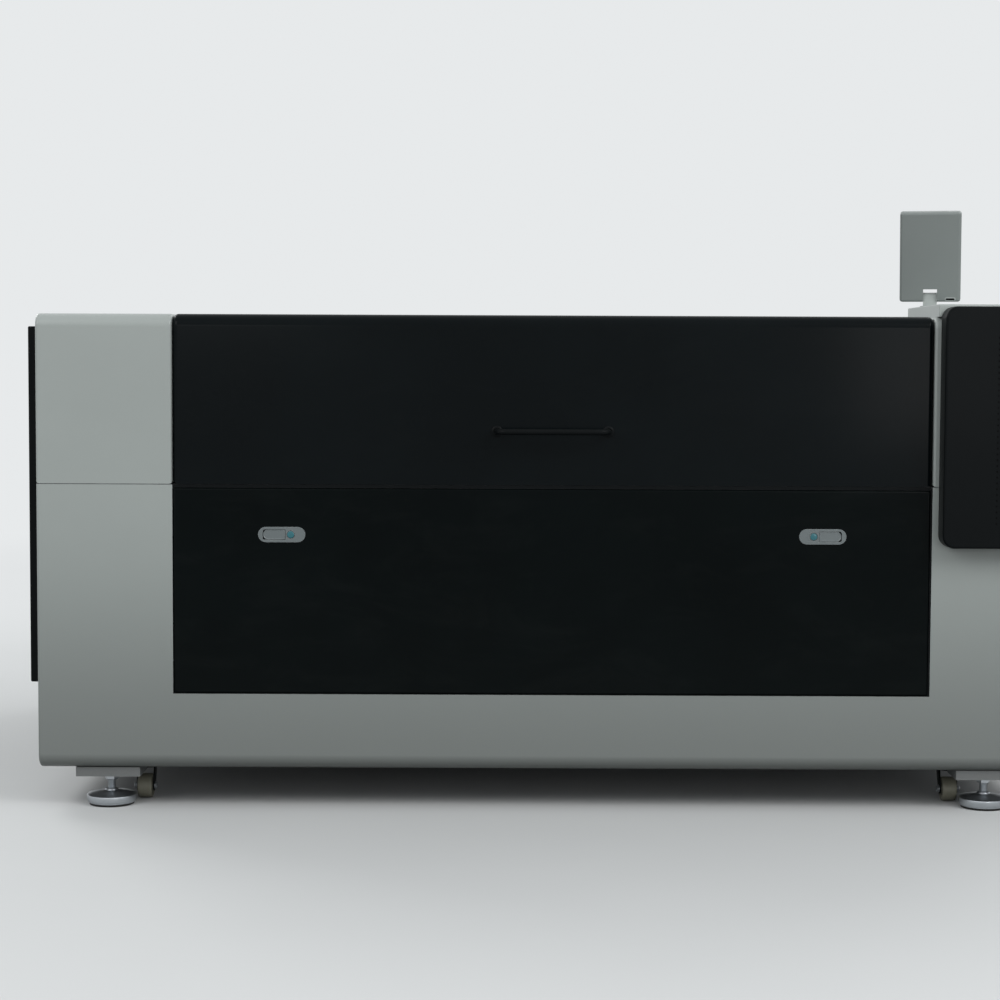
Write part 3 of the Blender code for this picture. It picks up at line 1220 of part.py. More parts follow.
def make_monitor():
    """A small monitor behind the console box: fixed post, swivelling neck, tilting housing."""
    centre = Vector((MONITOR_X, FRONT + MONITOR_SETBACK, HOUSING_TOP + SEAT_GAP))
    base_top = POST_BASE_HEIGHT
    pin_top = base_top + POST_PIN_HEIGHT
    profile = [
        (0, pin_top), (POST_PIN_RADIUS, pin_top), (POST_PIN_RADIUS, base_top),
        (POST_BASE_RADIUS - POST_BASE_HEIGHT, base_top), (POST_BASE_RADIUS, 0), (0, 0),
    ]
    turned("monitor_post", profile, centre, "Z", FOOT_STEPS, False, MATERIALS["white"])
    neck_low = base_top + SEAT_GAP
    tilt_z = MONITOR_LIFT + TILT_AXIS_RISE
    neck = rod(
        "monitor_neck", NECK_RADIUS, (0, 0, neck_low), "Z", NECK_HEIGHT, FOOT_STEPS, None, MATERIALS["white"],
    )
    half_tongue = TONGUE_WIDTH / 2
    tongue_y = TONGUE_THICKNESS / 2
    tongue_low = neck_low + NECK_HEIGHT - WELD
    outline = [(-tongue_y, tongue_low), (tongue_y, tongue_low)]
    outline += arc((0, tilt_z), tongue_y, 0, 180, FOLD_STEPS)
    tongue = plate("tongue", outline, "YZ", TONGUE_WIDTH, (0, 0, 0))
    pin_start = (-TILT_PIN_LENGTH / 2, 0, tilt_z)
    pin = rod("tilt_pin", TILT_PIN_RADIUS, pin_start, "X", TILT_PIN_LENGTH, SMALL_STEPS)
    socket = bore("post_socket", POST_PIN_RADIUS, (0, 0, 0), "Z", pin_top + SEAT_GAP)
    join(neck, tongue, pin)
    cut(neck, socket)
    half = MONITOR_WIDTH / 2
    half_y = MONITOR_THICKNESS / 2
    low = MONITOR_LIFT
    high = low + MONITOR_HEIGHT
    housing = block("monitor_housing", (-half, half), (-half_y, half_y), (low, high), MATERIALS["grey"])
    bevel = housing.modifiers.new("edges", "BEVEL")
    bevel.width = MONITOR_RADIUS
    bevel.segments = 3
    notch_half = half_tongue + SEAT_GAP
    notch = block(
        "neck_notch", (-notch_half, notch_half), (-half_y - OVERRUN, half_y + OVERRUN),
        (low - OVERRUN, tilt_z + TONGUE_THICKNESS / 2 + NOTCH_HEAD_GAP),
    )
    hole_length = TILT_PIN_LENGTH + SEAT_GAP * 2
    pin_hole = bore("tilt_bore", TILT_PIN_RADIUS, (-hole_length / 2, 0, tilt_z), "X", hole_length)
    border = SCREEN_BORDER
    glass_low = tilt_z + TONGUE_THICKNESS / 2 + NOTCH_HEAD_GAP + border
    recess = block(
        "screen_recess", (-half + border, half - border), (half_y - SCREEN_RECESS, half_y + OVERRUN),
        (glass_low, high - border),
    )
    cut(housing, notch, pin_hole, recess)
    glass_half = half - border - SEAT_GAP
    glass_y = (half_y - SCREEN_RECESS + SEAT_GAP, half_y - SEAT_GAP)
    glass_z = (glass_low + SEAT_GAP, high - border - SEAT_GAP)
    screen = block("monitor_screen", (-glass_half, glass_half), glass_y, glass_z, MATERIALS["screen"])
    yaw = Matrix.Translation(centre) @ Matrix.Rotation(math.radians(-MONITOR_YAW), 4, "Z")
    tilt = (
        yaw @ Matrix.Translation((0, 0, tilt_z)) @ Matrix.Rotation(math.radians(MONITOR_TILT), 4, "X")
        @ Matrix.Translation((0, 0, -tilt_z))
    )
    for thing in (neck, tongue, pin, socket):
        thing.matrix_world = yaw @ thing.matrix_world
    for thing in (housing, notch, pin_hole, recess, screen):
        thing.matrix_world = tilt @ thing.matrix_world
    swivel = joint_empty("monitor_swivel", centre)
    hang(swivel, neck, tongue, pin, socket)
    tilt_joint = joint_empty("monitor_tilt", centre + Vector((0, 0, tilt_z)), swivel)
    hang(tilt_joint, housing, notch, pin_hole, recess, screen)


def make_side_panel(name, side):
    """A black panel that stands proud of the housing's side, with chamfered edges and vents."""
    x = mirrored(HALF_WIDTH + SEAT_GAP, HALF_WIDTH + SIDE_PANEL_PROUD, side)
    y = (FRONT + SIDE_PANEL_SETBACK, REAR - SIDE_PANEL_SETBACK)
    z = (SIDE_PANEL_LOW, SIDE_PANEL_HIGH)
    outer, inner = ("right", "left") if side > 0 else ("left", "right")
    folds = (([(outer, other) for other in ("front", "rear", "top", "bottom")], SIDE_PANEL_CHAMFER, 1),)
    panel = folded_case(name, x, y, z, (inner,), folds, 0, MATERIALS["satin_black"])
    face = HALF_WIDTH + SIDE_PANEL_PROUD
    vent_x = mirrored(face - OVERRUN, face + OVERRUN, side)
    low = SIDE_PANEL_LOW + VENT_RISE
    for column in range(VENT_COLUMNS):
        middle = (column - (VENT_COLUMNS - 1) / 2) * VENT_PITCH
        vent_y = (middle - VENT_WIDTH / 2, middle + VENT_WIDTH / 2)
        cut(panel, block("vent", vent_x, vent_y, (low, low + VENT_HEIGHT)))


def make_louvre_panel():
    """The rear ventilation panel: a plate with slots, each under a hood pressed outwards."""
    inner = REAR + SEAT_GAP
    outer = inner + SHEET
    half = LOUVRE_PANEL_WIDTH / 2
    panel = block(
        "rear_louvre_panel", (LOUVRE_PANEL_X - half, LOUVRE_PANEL_X + half), (inner, outer),
        (LOUVRE_PANEL_LOW, LOUVRE_PANEL_LOW + LOUVRE_PANEL_HEIGHT), MATERIALS["white"],
    )
    middle = LOUVRE_PANEL_LOW + LOUVRE_PANEL_HEIGHT / 2
    x = (LOUVRE_PANEL_X - LOUVRE_LENGTH / 2, LOUVRE_PANEL_X + LOUVRE_LENGTH / 2)
    for index in range(LOUVRE_COUNT):
        low = middle + (index - (LOUVRE_COUNT - 1) / 2) * LOUVRE_PITCH - LOUVRE_OPENING / 2
        high = low + LOUVRE_OPENING
        cut(panel, block("louvre_slot", x, (inner - OVERRUN, outer + OVERRUN), (low, high)))
        hood_top = high + SHEET * 2
        hood = [
            (inner, high - SEAT_GAP), (outer, high - SEAT_GAP), (outer + LOUVRE_PROUD, low),
            (outer + LOUVRE_PROUD, low + SHEET), (outer, hood_top), (inner + SEAT_GAP, hood_top),
        ]
        join(panel, plate("louvre_hood", hood, "YZ", LOUVRE_LENGTH, (LOUVRE_PANEL_X, 0, 0)))


def make_exhaust_collar():
    outer = EXHAUST_RADIUS
    inner = outer - SHEET
    flange = outer + EXHAUST_FLANGE
    thick = EXHAUST_FLANGE_THICKNESS
    length = EXHAUST_LENGTH - SEAT_GAP
    ring = [(inner, length), (outer, length), (outer, thick), (flange, thick), (flange, 0), (inner, 0)]
    place = (EXHAUST_X, REAR + SEAT_GAP, EXHAUST_HEIGHT)
    turned("exhaust_collar", ring, place, "Y", ROUND_STEPS, True, MATERIALS["zinc"])


def make_power_inlet():
    """The supply box at the rear with its empty cable gland."""
    half = INLET_WIDTH / 2
    low = INLET_HEIGHT - INLET_TALL / 2
    face = REAR + INLET_PROUD
    box = folded_case(
        "power_inlet", (INLET_X - half, INLET_X + half), (REAR + SEAT_GAP, face), (low, low + INLET_TALL),
        ("front",), (), INLET_EDGE_RADIUS, MATERIALS["grey"],
    )
    bore_start = (INLET_X, face - OVERRUN, INLET_HEIGHT)
    join(box, rod("gland", GLAND_RADIUS, (INLET_X, face - WELD, INLET_HEIGHT), "Y", GLAND_LENGTH, 6))
    cut(box, rod("gland_bore", GLAND_BORE, bore_start, "Y", OVERRUN * 2 + GLAND_LENGTH))


clear_scene()
PARTS = new_collection("fiber_laser_cutting_machine")
CUTTERS = new_collection("cutters")
MATERIALS = make_materials()
LID_JOINT = joint_empty("lid_joint", ((INNER_LEFT + INNER_RIGHT) / 2, HINGE_Y, HINGE_Z))
DRAWER_JOINT = joint_empty("drawer_joint", (0, FRONT, DRAWER_LOW))
GANTRY_JOINT = joint_empty("gantry_joint", (0, (GANTRY_FRONT + GANTRY_REAR) / 2, GUIDE_BASE))
HEAD_JOINT = joint_empty("head_joint", (0, GANTRY_FRONT, GANTRY_LOW), GANTRY_JOINT)
NOZZLE_JOINT = joint_empty("nozzle_joint", (0, GANTRY_FRONT - HEAD_PLATE_THICKNESS, GANTRY_LOW), HEAD_JOINT)

make_base_frame()
make_cabinet_shell()
make_top_covers()
make_lid()
make_fixed_hinge_leaf()
make_gas_springs()
make_drawer()
make_drawer_runners()
make_latch("left", LEFT_LATCH_X, -1)
make_latch("right", RIGHT_LATCH_X, 1)
make_slat_bed()
make_rail_beams()
make_gantry()
make_head()
make_laser_source()
make_electrical_plate()
for corner_name, corner_side, corner_end in (
    ("front_left", -1, -1), ("front_right", 1, -1), ("rear_left", -1, 1), ("rear_right", 1, 1),
):
    make_foot(corner_name + "_foot", corner_side * FOOT_X, corner_end * (REAR - FOOT_SETBACK))
    make_caster(corner_name + "_caster", corner_side * CASTER_X, corner_end * (REAR - CASTER_SETBACK))
make_console()
make_controls()
make_monitor()
make_side_panel("left_side_panel", -1)
make_side_panel("right_side_panel", 1)
make_louvre_panel()
make_exhaust_collar()
make_power_inlet()
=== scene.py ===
import math

import bmesh
import bpy
from mathutils import Matrix, Vector


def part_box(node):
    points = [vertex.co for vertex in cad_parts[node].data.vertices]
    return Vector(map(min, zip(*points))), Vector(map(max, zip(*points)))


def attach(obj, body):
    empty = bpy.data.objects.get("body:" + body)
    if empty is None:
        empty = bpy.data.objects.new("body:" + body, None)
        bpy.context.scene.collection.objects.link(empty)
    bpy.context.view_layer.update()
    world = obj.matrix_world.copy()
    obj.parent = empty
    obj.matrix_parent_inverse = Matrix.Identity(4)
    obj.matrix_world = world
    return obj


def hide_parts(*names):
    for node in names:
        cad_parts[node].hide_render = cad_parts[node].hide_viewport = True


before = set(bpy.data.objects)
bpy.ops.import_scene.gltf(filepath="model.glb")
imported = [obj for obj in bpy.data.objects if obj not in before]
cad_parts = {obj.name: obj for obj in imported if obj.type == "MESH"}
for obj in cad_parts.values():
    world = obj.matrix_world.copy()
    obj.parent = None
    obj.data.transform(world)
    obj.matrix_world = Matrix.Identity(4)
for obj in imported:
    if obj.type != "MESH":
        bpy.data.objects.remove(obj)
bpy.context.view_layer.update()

# The camera stands low in front of the machine and a little to its left, with a long lens. It leans a
# quarter of a degree, and the machine's right end runs out of its picture.
camera = bpy.data.objects.new("camera", bpy.data.cameras.new("camera"))
bpy.context.scene.collection.objects.link(camera)
camera.data.lens = 79.2
camera.data.sensor_width = 36.0
camera.location = (-0.100, -5.150, 0.9025)
camera.rotation_mode = "QUATERNION"
tipped = Matrix.Rotation(math.radians(86.46), 3, "X") @ Matrix.Rotation(math.radians(0.245), 3, "Z")
camera.rotation_quaternion = tipped.to_quaternion()
bpy.context.scene.camera = camera
bpy.context.scene.view_settings.view_transform = "Standard"


# The floor is a plain pale sheet of matt paper that fades into an even pale sky far from the machine.
# Large soft lamps stand high at the front right, front left and rear, and two dim windows far behind the
# camera show as soft glows in the black gloss.
def add_node(tree, kind, feeds=None, **settings):
    """One node; feeds gives an input its constant or the socket that feeds it."""
    node = tree.nodes.new(kind)
    for key, value in settings.items():
        setattr(node, key, value)
    for key, feed in (feeds or {}).items():
        if isinstance(feed, bpy.types.NodeSocket):
            tree.links.new(feed, node.inputs[key])
        else:
            node.inputs[key].default_value = feed
    return node


def calc(tree, operation, *feeds, clamp=False):
    """The result of one Math node."""
    return add_node(
        tree, "ShaderNodeMath", dict(enumerate(feeds)), operation=operation, use_clamp=clamp
    ).outputs[0]


def ramp(tree, value, low, high, start=0.0, end=1.0, smooth=False):
    """Turns a value between low and high into one between start and end."""
    feeds = {"Value": value, "From Min": low, "From Max": high, "To Min": start, "To Max": end}
    kind = "SMOOTHSTEP" if smooth else "LINEAR"
    return add_node(tree, "ShaderNodeMapRange", feeds, interpolation_type=kind).outputs[0]


def noise(tree, place, scale, detail, roughness=0.5, distortion=0.0):
    feeds = {
        "Vector": place, "Scale": scale, "Detail": detail, "Roughness": roughness, "Distortion": distortion,
    }
    return add_node(tree, "ShaderNodeTexNoise", feeds).outputs["Fac"]


def mixed(tree, factor, first, second):
    return add_node(tree, "ShaderNodeMix", {0: factor, 6: first, 7: second}, data_type="RGBA").outputs[2]


def own_place(tree):
    """The place on a piece, in its own metres."""
    return add_node(tree, "ShaderNodeTexCoord").outputs["Object"]


def new_finish(name, **constants):
    """A material with a Principled shader whose plain numbers sit on its own sockets."""
    material = bpy.data.materials.new(name)
    material.use_nodes = True
    shader = material.node_tree.nodes["Principled BSDF"]
    for key, value in constants.items():
        shader.inputs[key.replace("_", " ")].default_value = value
    return material, material.node_tree, shader


def plain_rays(tree):
    """1 where the camera, a mirror or clear glass looks at the surface, and 0 where it only lights."""
    ray = add_node(tree, "ShaderNodeLightPath").outputs
    seen = calc(tree, "MAXIMUM", ray["Is Camera Ray"], ray["Is Transmission Ray"])
    return calc(tree, "MAXIMUM", seen, ray["Is Glossy Ray"])


SKY_COLOUR = (0.80, 0.82, 0.83, 1.0)
FLOOR_RADIUS = 60.0
FADE_START, FADE_END = 1.6, 7.0

paper, tree, shader = new_finish("pale_paper_floor", Roughness=0.85, Specular_IOR_Level=0.15)
place = own_place(tree)
seen = plain_rays(tree)
tone = mixed(tree, noise(tree, place, 1.3, 3.0), (0.62, 0.63, 0.63, 1.0), (0.66, 0.67, 0.67, 1.0))
tree.links.new(mixed(tree, seen, (0.10, 0.105, 0.102, 1.0), tone), shader.inputs["Base Color"])
distance = add_node(tree, "ShaderNodeVectorMath", {0: place}, operation="LENGTH").outputs["Value"]
far = calc(tree, "MULTIPLY", ramp(tree, distance, FADE_START, FADE_END, smooth=True), seen)
glow = add_node(tree, "ShaderNodeEmission", {"Color": SKY_COLOUR, "Strength": 1.0})
faded = add_node(tree, "ShaderNodeMixShader", {0: far, 1: shader.outputs[0], 2: glow.outputs[0]})
tree.links.new(faded.outputs[0], tree.nodes["Material Output"].inputs["Surface"])
floor_bm = bmesh.new()
bmesh.ops.create_circle(floor_bm, cap_ends=True, radius=FLOOR_RADIUS, segments=64)
floor_mesh = bpy.data.meshes.new("floor")
floor_bm.to_mesh(floor_mesh)
floor_bm.free()
floor_mesh.materials.append(paper)
floor = bpy.data.objects.new("floor", floor_mesh)
bpy.context.scene.collection.objects.link(floor)

sky = bpy.data.worlds.new("even_sky")
bpy.context.scene.world = sky
sky.use_nodes = True
tree = sky.node_tree
sky_light = tree.nodes["Background"]
sky_light.inputs["Color"].default_value = (0.95, 0.98, 1.0, 1.0)
sky_light.inputs["Strength"].default_value = 0.62
sky_seen = add_node(tree, "ShaderNodeBackground", {"Color": SKY_COLOUR, "Strength": 1.0})
sky_mix = add_node(
    tree, "ShaderNodeMixShader", {0: plain_rays(tree), 1: sky_light.outputs[0], 2: sky_seen.outputs[0]}
)
tree.links.new(sky_mix.outputs[0], tree.nodes["World Output"].inputs["Surface"])

# Each lamp: its name, place, target, width, height and power in watts.
for lamp_name, lamp_place, target, wide, tall, power in (
    ("front_right_lamp", (3.8, -4.4, 4.2), (0.2, 0.0, 0.6), 3.2, 3.2, 150.0),
    ("front_left_lamp", (-3.8, -4.6, 3.8), (-0.2, 0.0, 0.6), 3.2, 3.2, 88.0),
    ("rear_left_lamp", (-4.2, 3.4, 4.2), (0.2, 0.0, 0.8), 2.8, 2.8, 130.0),
    ("rear_right_lamp", (3.4, 4.4, 4.2), (0.0, 0.0, 0.7), 2.8, 2.8, 70.0),
    ("left_window", (-1.9, -9.0, 2.1), (-0.6, -0.75, 0.9), 1.5, 2.0, 15.0),
    ("right_window", (2.6, -9.0, 1.7), (0.6, -0.75, 0.8), 1.3, 2.4, 34.0),
):
    lamp = bpy.data.objects.new(lamp_name, bpy.data.lights.new(lamp_name, "AREA"))
    bpy.context.scene.collection.objects.link(lamp)
    lamp.data.shape = "RECTANGLE"
    lamp.data.size = wide
    lamp.data.size_y = tall
    lamp.data.energy = power
    lamp.visible_camera = False
    lamp.location = lamp_place
    lamp.rotation_euler = (Vector(target) - Vector(lamp_place)).to_track_quat("-Z", "Y").to_euler()


# The lower cabinet is one long box of 2 mm steel sheet, its bottom edges rolled under along the front
# and the rear, powder coated light grey-white. Its front is cut out for the scrap drawer, its rear for
# the louvre panel and the exhaust, and it is screwed to the tube frame from inside.
def shader_group(name, inputs, outputs):
    """An empty effect group with its named sockets: inputs (name, kind, value), outputs (name, kind)."""
    group = bpy.data.node_groups.new(name, "ShaderNodeTree")
    for socket_name, kind, value in inputs:
        socket = group.interface.new_socket(socket_name, in_out="INPUT", socket_type="NodeSocket" + kind)
        if value is not None:
            socket.default_value = value
    for socket_name, kind in outputs:
        group.interface.new_socket(socket_name, in_out="OUTPUT", socket_type="NodeSocket" + kind)
    return group, group.nodes.new("NodeGroupInput").outputs, group.nodes.new("NodeGroupOutput").inputs


def use_group(tree, group, **feeds):
    """The group placed in a material with this material's own values."""
    named = {key.replace("_", " "): feed for key, feed in feeds.items()}
    return add_node(tree, "ShaderNodeGroup", named, node_tree=group).outputs


def upright(tree, vector):
    """The vector's share along +Z."""
    return add_node(tree, "ShaderNodeSeparateXYZ", {0: vector}).outputs["Z"]


# Grain: a fine height for bump and a broad soft tone, both in the piece's own metres.
surface_grain, given, put_out = shader_group(
    "surface_grain",
    (("Vector", "Vector", None), ("Grain Size", "Float", 0.002), ("Tone Size", "Float", 0.3)),
    (("Height", "Float"), ("Tone", "Float")),
)
fine_scale = calc(surface_grain, "DIVIDE", 1.0, given["Grain Size"])
tone_scale = calc(surface_grain, "DIVIDE", 1.0, given["Tone Size"])
broad = noise(surface_grain, given["Vector"], tone_scale, 5.0, 0.62)
surface_grain.links.new(noise(surface_grain, given["Vector"], fine_scale, 2.0, 0.55), put_out["Height"])
surface_grain.links.new(ramp(surface_grain, broad, 0.3, 0.7, smooth=True), put_out["Tone"])

# Dust: it lies on faces that look up, gathers near the floor and clings in specks and wiped smears.
settled_dust, given, put_out = shader_group(
    "settled_dust",
    (("Vector", "Vector", None), ("Amount", "Float", 0.3), ("Reach", "Float", 0.5), ("Smears", "Float", 0.1)),
    (("Mask", "Float"),),
)
tree, place = settled_dust, given["Vector"]
upward = ramp(tree, upright(tree, add_node(tree, "ShaderNodeNewGeometry").outputs["Normal"]), 0.2, 1.0)
low_down = ramp(tree, upright(tree, place), 0.0, given["Reach"], 1.0, 0.0, smooth=True)
specks = ramp(tree, noise(tree, place, 620.0, 3.0, 0.7), 0.46, 0.66)
drawn_out = add_node(tree, "ShaderNodeMapping", {"Vector": place, "Scale": (1.0, 1.0, 2.6)}).outputs[0]
smears = ramp(tree, noise(tree, drawn_out, 4.5, 7.0, 0.7, 0.7), 0.5, 0.78)
lying = calc(tree, "MULTIPLY_ADD", upward, 0.7, low_down)
lying_specks = calc(tree, "MULTIPLY", lying, calc(tree, "MULTIPLY_ADD", specks, 0.75, 0.25))
smear_share = calc(tree, "MULTIPLY", smears, given["Smears"])
dust_sum = calc(tree, "MULTIPLY_ADD", lying_specks, given["Amount"], smear_share, clamp=True)
tree.links.new(dust_sum, put_out["Mask"])

# Edge wear and sheen: a mask along outer edges, broken up by noise, where the finish thins; where a finish
# gives its edges a lighter colour, it also paints a highlight there.
edge_wear_and_sheen, given, put_out = shader_group(
    "edge_wear_and_sheen", (("Vector", "Vector", None), ("Width", "Float", 0.0015), ("Amount", "Float", 0.5)),
    (("Mask", "Float"),),
)
tree = edge_wear_and_sheen
soft_normal = add_node(tree, "ShaderNodeBevel", {"Radius": given["Width"]}, samples=4).outputs[0]
true_normal = add_node(tree, "ShaderNodeNewGeometry").outputs["Normal"]
agree = add_node(tree, "ShaderNodeVectorMath", {0: soft_normal, 1: true_normal}, operation="DOT_PRODUCT")
at_edge = ramp(tree, agree.outputs["Value"], 0.985, 0.80)
rubs = ramp(tree, noise(tree, given["Vector"], 55.0, 5.0, 0.7), 0.38, 0.62)
wear_and_sheen_share = calc(tree, "MULTIPLY", calc(tree, "MULTIPLY", at_edge, rubs), given["Amount"], clamp=True)
tree.links.new(wear_and_sheen_share, put_out["Mask"])


def rgba(colour, share=1.0):
    return (colour[0] * share, colour[1] * share, colour[2] * share, 1.0)


def add_relief(tree, shader, strength, distance, height):
    relief = add_node(tree, "ShaderNodeBump", {"Strength": strength, "Distance": distance, "Height": height})
    tree.links.new(relief.outputs[0], shader.inputs["Normal"])


# Heights between which the painted shade of a finish with low below 1 fades out.
PAINTED_SHADE_LOW, PAINTED_SHADE_HIGH = 0.05, 0.68


def coated(
    name, colour, roughness, grain=0.0016, bump=0.10, spread=0.05, dust=0.25, reach=0.5, smears=0.0,
    dust_colour=(0.30, 0.29, 0.26), wear_and_sheen=0.4, bare_and_sheen=(0.45, 0.46, 0.46), specular=0.4, coat=0.0, low=1.0,
):
    """Powder coat, paint or moulded plastic: grain, tone, dust and lighter edges over one colour, the edges
    partly rubbed wear and partly a painted highlight; low is the share of the colour that is left down at the
    floor, a painted shade that darkens the finish towards the bottom."""
    finish, tree, shader = new_finish(
        name, Coat_Weight=coat, Coat_Roughness=0.12, Specular_IOR_Level=specular
    )
    place = own_place(tree)
    grain_out = use_group(tree, surface_grain, Vector=place, Grain_Size=grain, Tone_Size=0.35)
    dust_mask = use_group(tree, settled_dust, Vector=place, Amount=dust, Reach=reach, Smears=smears)["Mask"]
    wear_and_sheen_mask = use_group(tree, edge_wear_and_sheen, Vector=place, Width=0.0015, Amount=wear_and_sheen)["Mask"]
    toned = mixed(tree, grain_out["Tone"], rgba(colour, 1 - spread), rgba(colour, 1 + spread))
    # Painted shade: the colour darkens towards the floor by the share low, fading out between the two
    # heights.
    if low < 1.0:
        rise = ramp(tree, upright(tree, place), PAINTED_SHADE_LOW, PAINTED_SHADE_HIGH, smooth=True)
        toned = mixed(tree, rise, rgba(colour, low), toned)
    dusty = mixed(tree, dust_mask, toned, rgba(dust_colour))
    tree.links.new(mixed(tree, wear_and_sheen_mask, dusty, rgba(bare_and_sheen)), shader.inputs["Base Color"])
    rough = ramp(tree, grain_out["Tone"], 0.0, 1.0, roughness - 0.04, roughness + 0.05)
    rough_dust = calc(tree, "MULTIPLY_ADD", dust_mask, 0.35, rough, clamp=True)
    tree.links.new(rough_dust, shader.inputs["Roughness"])
    add_relief(tree, shader, bump, grain * 0.2, grain_out["Height"])
    return finish


# The white's low of 0.53 is painted shade that darkens it towards the floor.
white_coat = coated(
    "white_powder_coat", (0.372, 0.406, 0.391), 0.38, spread=0.02, dust=0.40, reach=0.42, smears=0.03,
    # The light bluish edge colour below is partly rubbed wear and partly a painted highlight on the rounded
    # edges.
    dust_colour=(0.20, 0.205, 0.195), low=0.53, wear_and_sheen=0.45, bare_and_sheen=(0.66, 0.69, 0.72), specular=0.45,
    coat=0.15,
)

SHEET = 0.002
SIDES = {
    "left": Vector((-1, 0, 0)), "right": Vector((1, 0, 0)), "front": Vector((0, -1, 0)),
    "rear": Vector((0, 1, 0)), "bottom": Vector((0, 0, -1)), "top": Vector((0, 0, 1)),
}


def facing_faces(bm, side):
    return [face for face in bm.faces if face.normal.dot(SIDES[side]) > 0.999]


def edges_between(bm, side, other_side):
    edges = {edge for face in facing_faces(bm, side) for edge in face.edges}
    return [edge for face in facing_faces(bm, other_side) for edge in face.edges if edge in edges]


def round_edges(bm, edges, radius, steps):
    bmesh.ops.bevel(
        bm, geom=edges, offset=radius, offset_type="OFFSET", segments=steps, profile=0.5, affect="EDGES",
        clamp_overlap=True,
    )
    bm.normal_update()


def put_box(bm, low, high):
    """A box with its low and high corners added to a mesh."""
    low, high = Vector(low), Vector(high)
    for corner in bmesh.ops.create_cube(bm, size=1.0)["verts"]:
        corner.co = Vector([(low[i] + high[i]) / 2 + corner.co[i] * (high[i] - low[i]) for i in range(3)])


def new_piece(name, bm):
    """An object at the origin that holds the mesh, with its place in its points."""
    bm.normal_update()
    mesh = bpy.data.meshes.new(name)
    bm.to_mesh(mesh)
    bm.free()
    piece = bpy.data.objects.new(name, mesh)
    bpy.context.scene.collection.objects.link(piece)
    return piece


def give_sheet(piece):
    """Gives an open surface the sheet's thickness, inwards."""
    wall = piece.modifiers.new("sheet", "SOLIDIFY")
    wall.thickness = SHEET
    wall.offset = -1
    wall.use_even_offset = True


def folded_case(name, low, high, open_sides, folds, end_radius=0.0):
    """A case folded from 2 mm sheet; each fold is (pairs of sides, radius, steps)."""
    bm = bmesh.new()
    put_box(bm, low, high)
    bm.normal_update()
    for pairs, radius, steps in folds:
        round_edges(bm, [edge for pair in pairs for edge in edges_between(bm, *pair)], radius, steps)
    if end_radius > 0:
        open_edges = {edge for side in open_sides for face in facing_faces(bm, side) for edge in face.edges}
        edges = [
            edge for side in ("left", "right") if side not in open_sides
            for face in facing_faces(bm, side) for edge in face.edges if edge not in open_edges
        ]
        round_edges(bm, edges, end_radius, 4)
    for side in open_sides:
        bmesh.ops.delete(bm, geom=facing_faces(bm, side), context="FACES")
    piece = new_piece(name, bm)
    give_sheet(piece)
    return piece


def open_up(piece, *cutter_meshes):
    """Cuts openings in a piece; each cutter is a mesh that is gone afterwards."""
    cutters = [new_piece("cutter", bm) for bm in cutter_meshes]
    for cutter in cutters:
        cut = piece.modifiers.new("cut", "BOOLEAN")
        cut.operation = "DIFFERENCE"
        cut.solver = "EXACT"
        cut.object = cutter
    settle(piece)
    for cutter in cutters:
        bpy.data.objects.remove(cutter, do_unlink=True)


def settle(piece):
    """Turns the piece with its modifiers into a plain mesh."""
    bpy.context.view_layer.update()
    evaluated = piece.evaluated_get(bpy.context.evaluated_depsgraph_get())
    mesh = bpy.data.meshes.new_from_object(evaluated)
    piece.modifiers.clear()
    piece.data = mesh
    mesh.name = piece.name


def box_cutter(low, high):
    bm = bmesh.new()
    put_box(bm, low, high)
    return bm


def finish_piece(piece, body, slot_name, finish, *nodes, angle=32.0):
    """Shades the piece, gives it its finish and sets it on its body in place of its CAD nodes."""
    if piece.modifiers:
        settle(piece)
    piece.data.materials.clear()
    piece.data.materials.append(finish)
    piece.data.shade_smooth()
    piece.data.set_sharp_from_angle(angle=math.radians(angle))
    even = piece.modifiers.new("even", "WEIGHTED_NORMAL")
    even.keep_sharp = True
    settle(piece)
    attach(piece, body)
    if nodes:
        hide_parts(*nodes)


def turned(bm, profile, place, axis, steps=40, closed=False):
    """Adds a lathe shape: (radius, height) points up its outer side, from its foot to its top."""
    turn = Matrix.Translation(place) @ Vector(axis).to_track_quat("Z", "Y").to_matrix().to_4x4()
    rings = []
    for radius, height in profile:
        angles = [math.tau * step / steps for step in range(steps if radius > 0 else 1)]
        rings.append([
            bm.verts.new(turn @ Vector((radius * math.cos(a), radius * math.sin(a), height))) for a in angles
        ])
    pairs = list(zip(rings, rings[1:])) + ([(rings[-1], rings[0])] if closed else [])
    for low, high in pairs:
        for step in range(steps):
            after = (step + 1) % steps
            corners = [
                low[step % len(low)], low[after % len(low)], high[after % len(high)], high[step % len(high)]
            ]
            corners = list(dict.fromkeys(corners))
            if len(corners) > 2:
                bm.faces.new(corners)


def round_cutter(radius, place, axis, length, steps=40):
    bm = bmesh.new()
    turned(bm, [(0, 0), (radius, 0), (radius, length), (0, length)], place, axis, steps)
    return bm


cabinet_low, cabinet_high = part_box("cabinet_shell")
lid_low, lid_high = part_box("lid_panel")
drawer_low, drawer_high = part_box("drawer_front")
left_cover_low, left_cover_high = Vector((-1.03, -0.75, 0.66)), Vector((-0.757, 0.75, 1.0))
right_cover_low, right_cover_high = Vector((0.767, -0.75, 0.66)), Vector((1.03, 0.75, 1.0))
louvre_low, louvre_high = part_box("rear_louvre_panel")
opening_low = drawer_low.z - 0.0015
EXHAUST_X, EXHAUST_Z = 0.350, 0.400

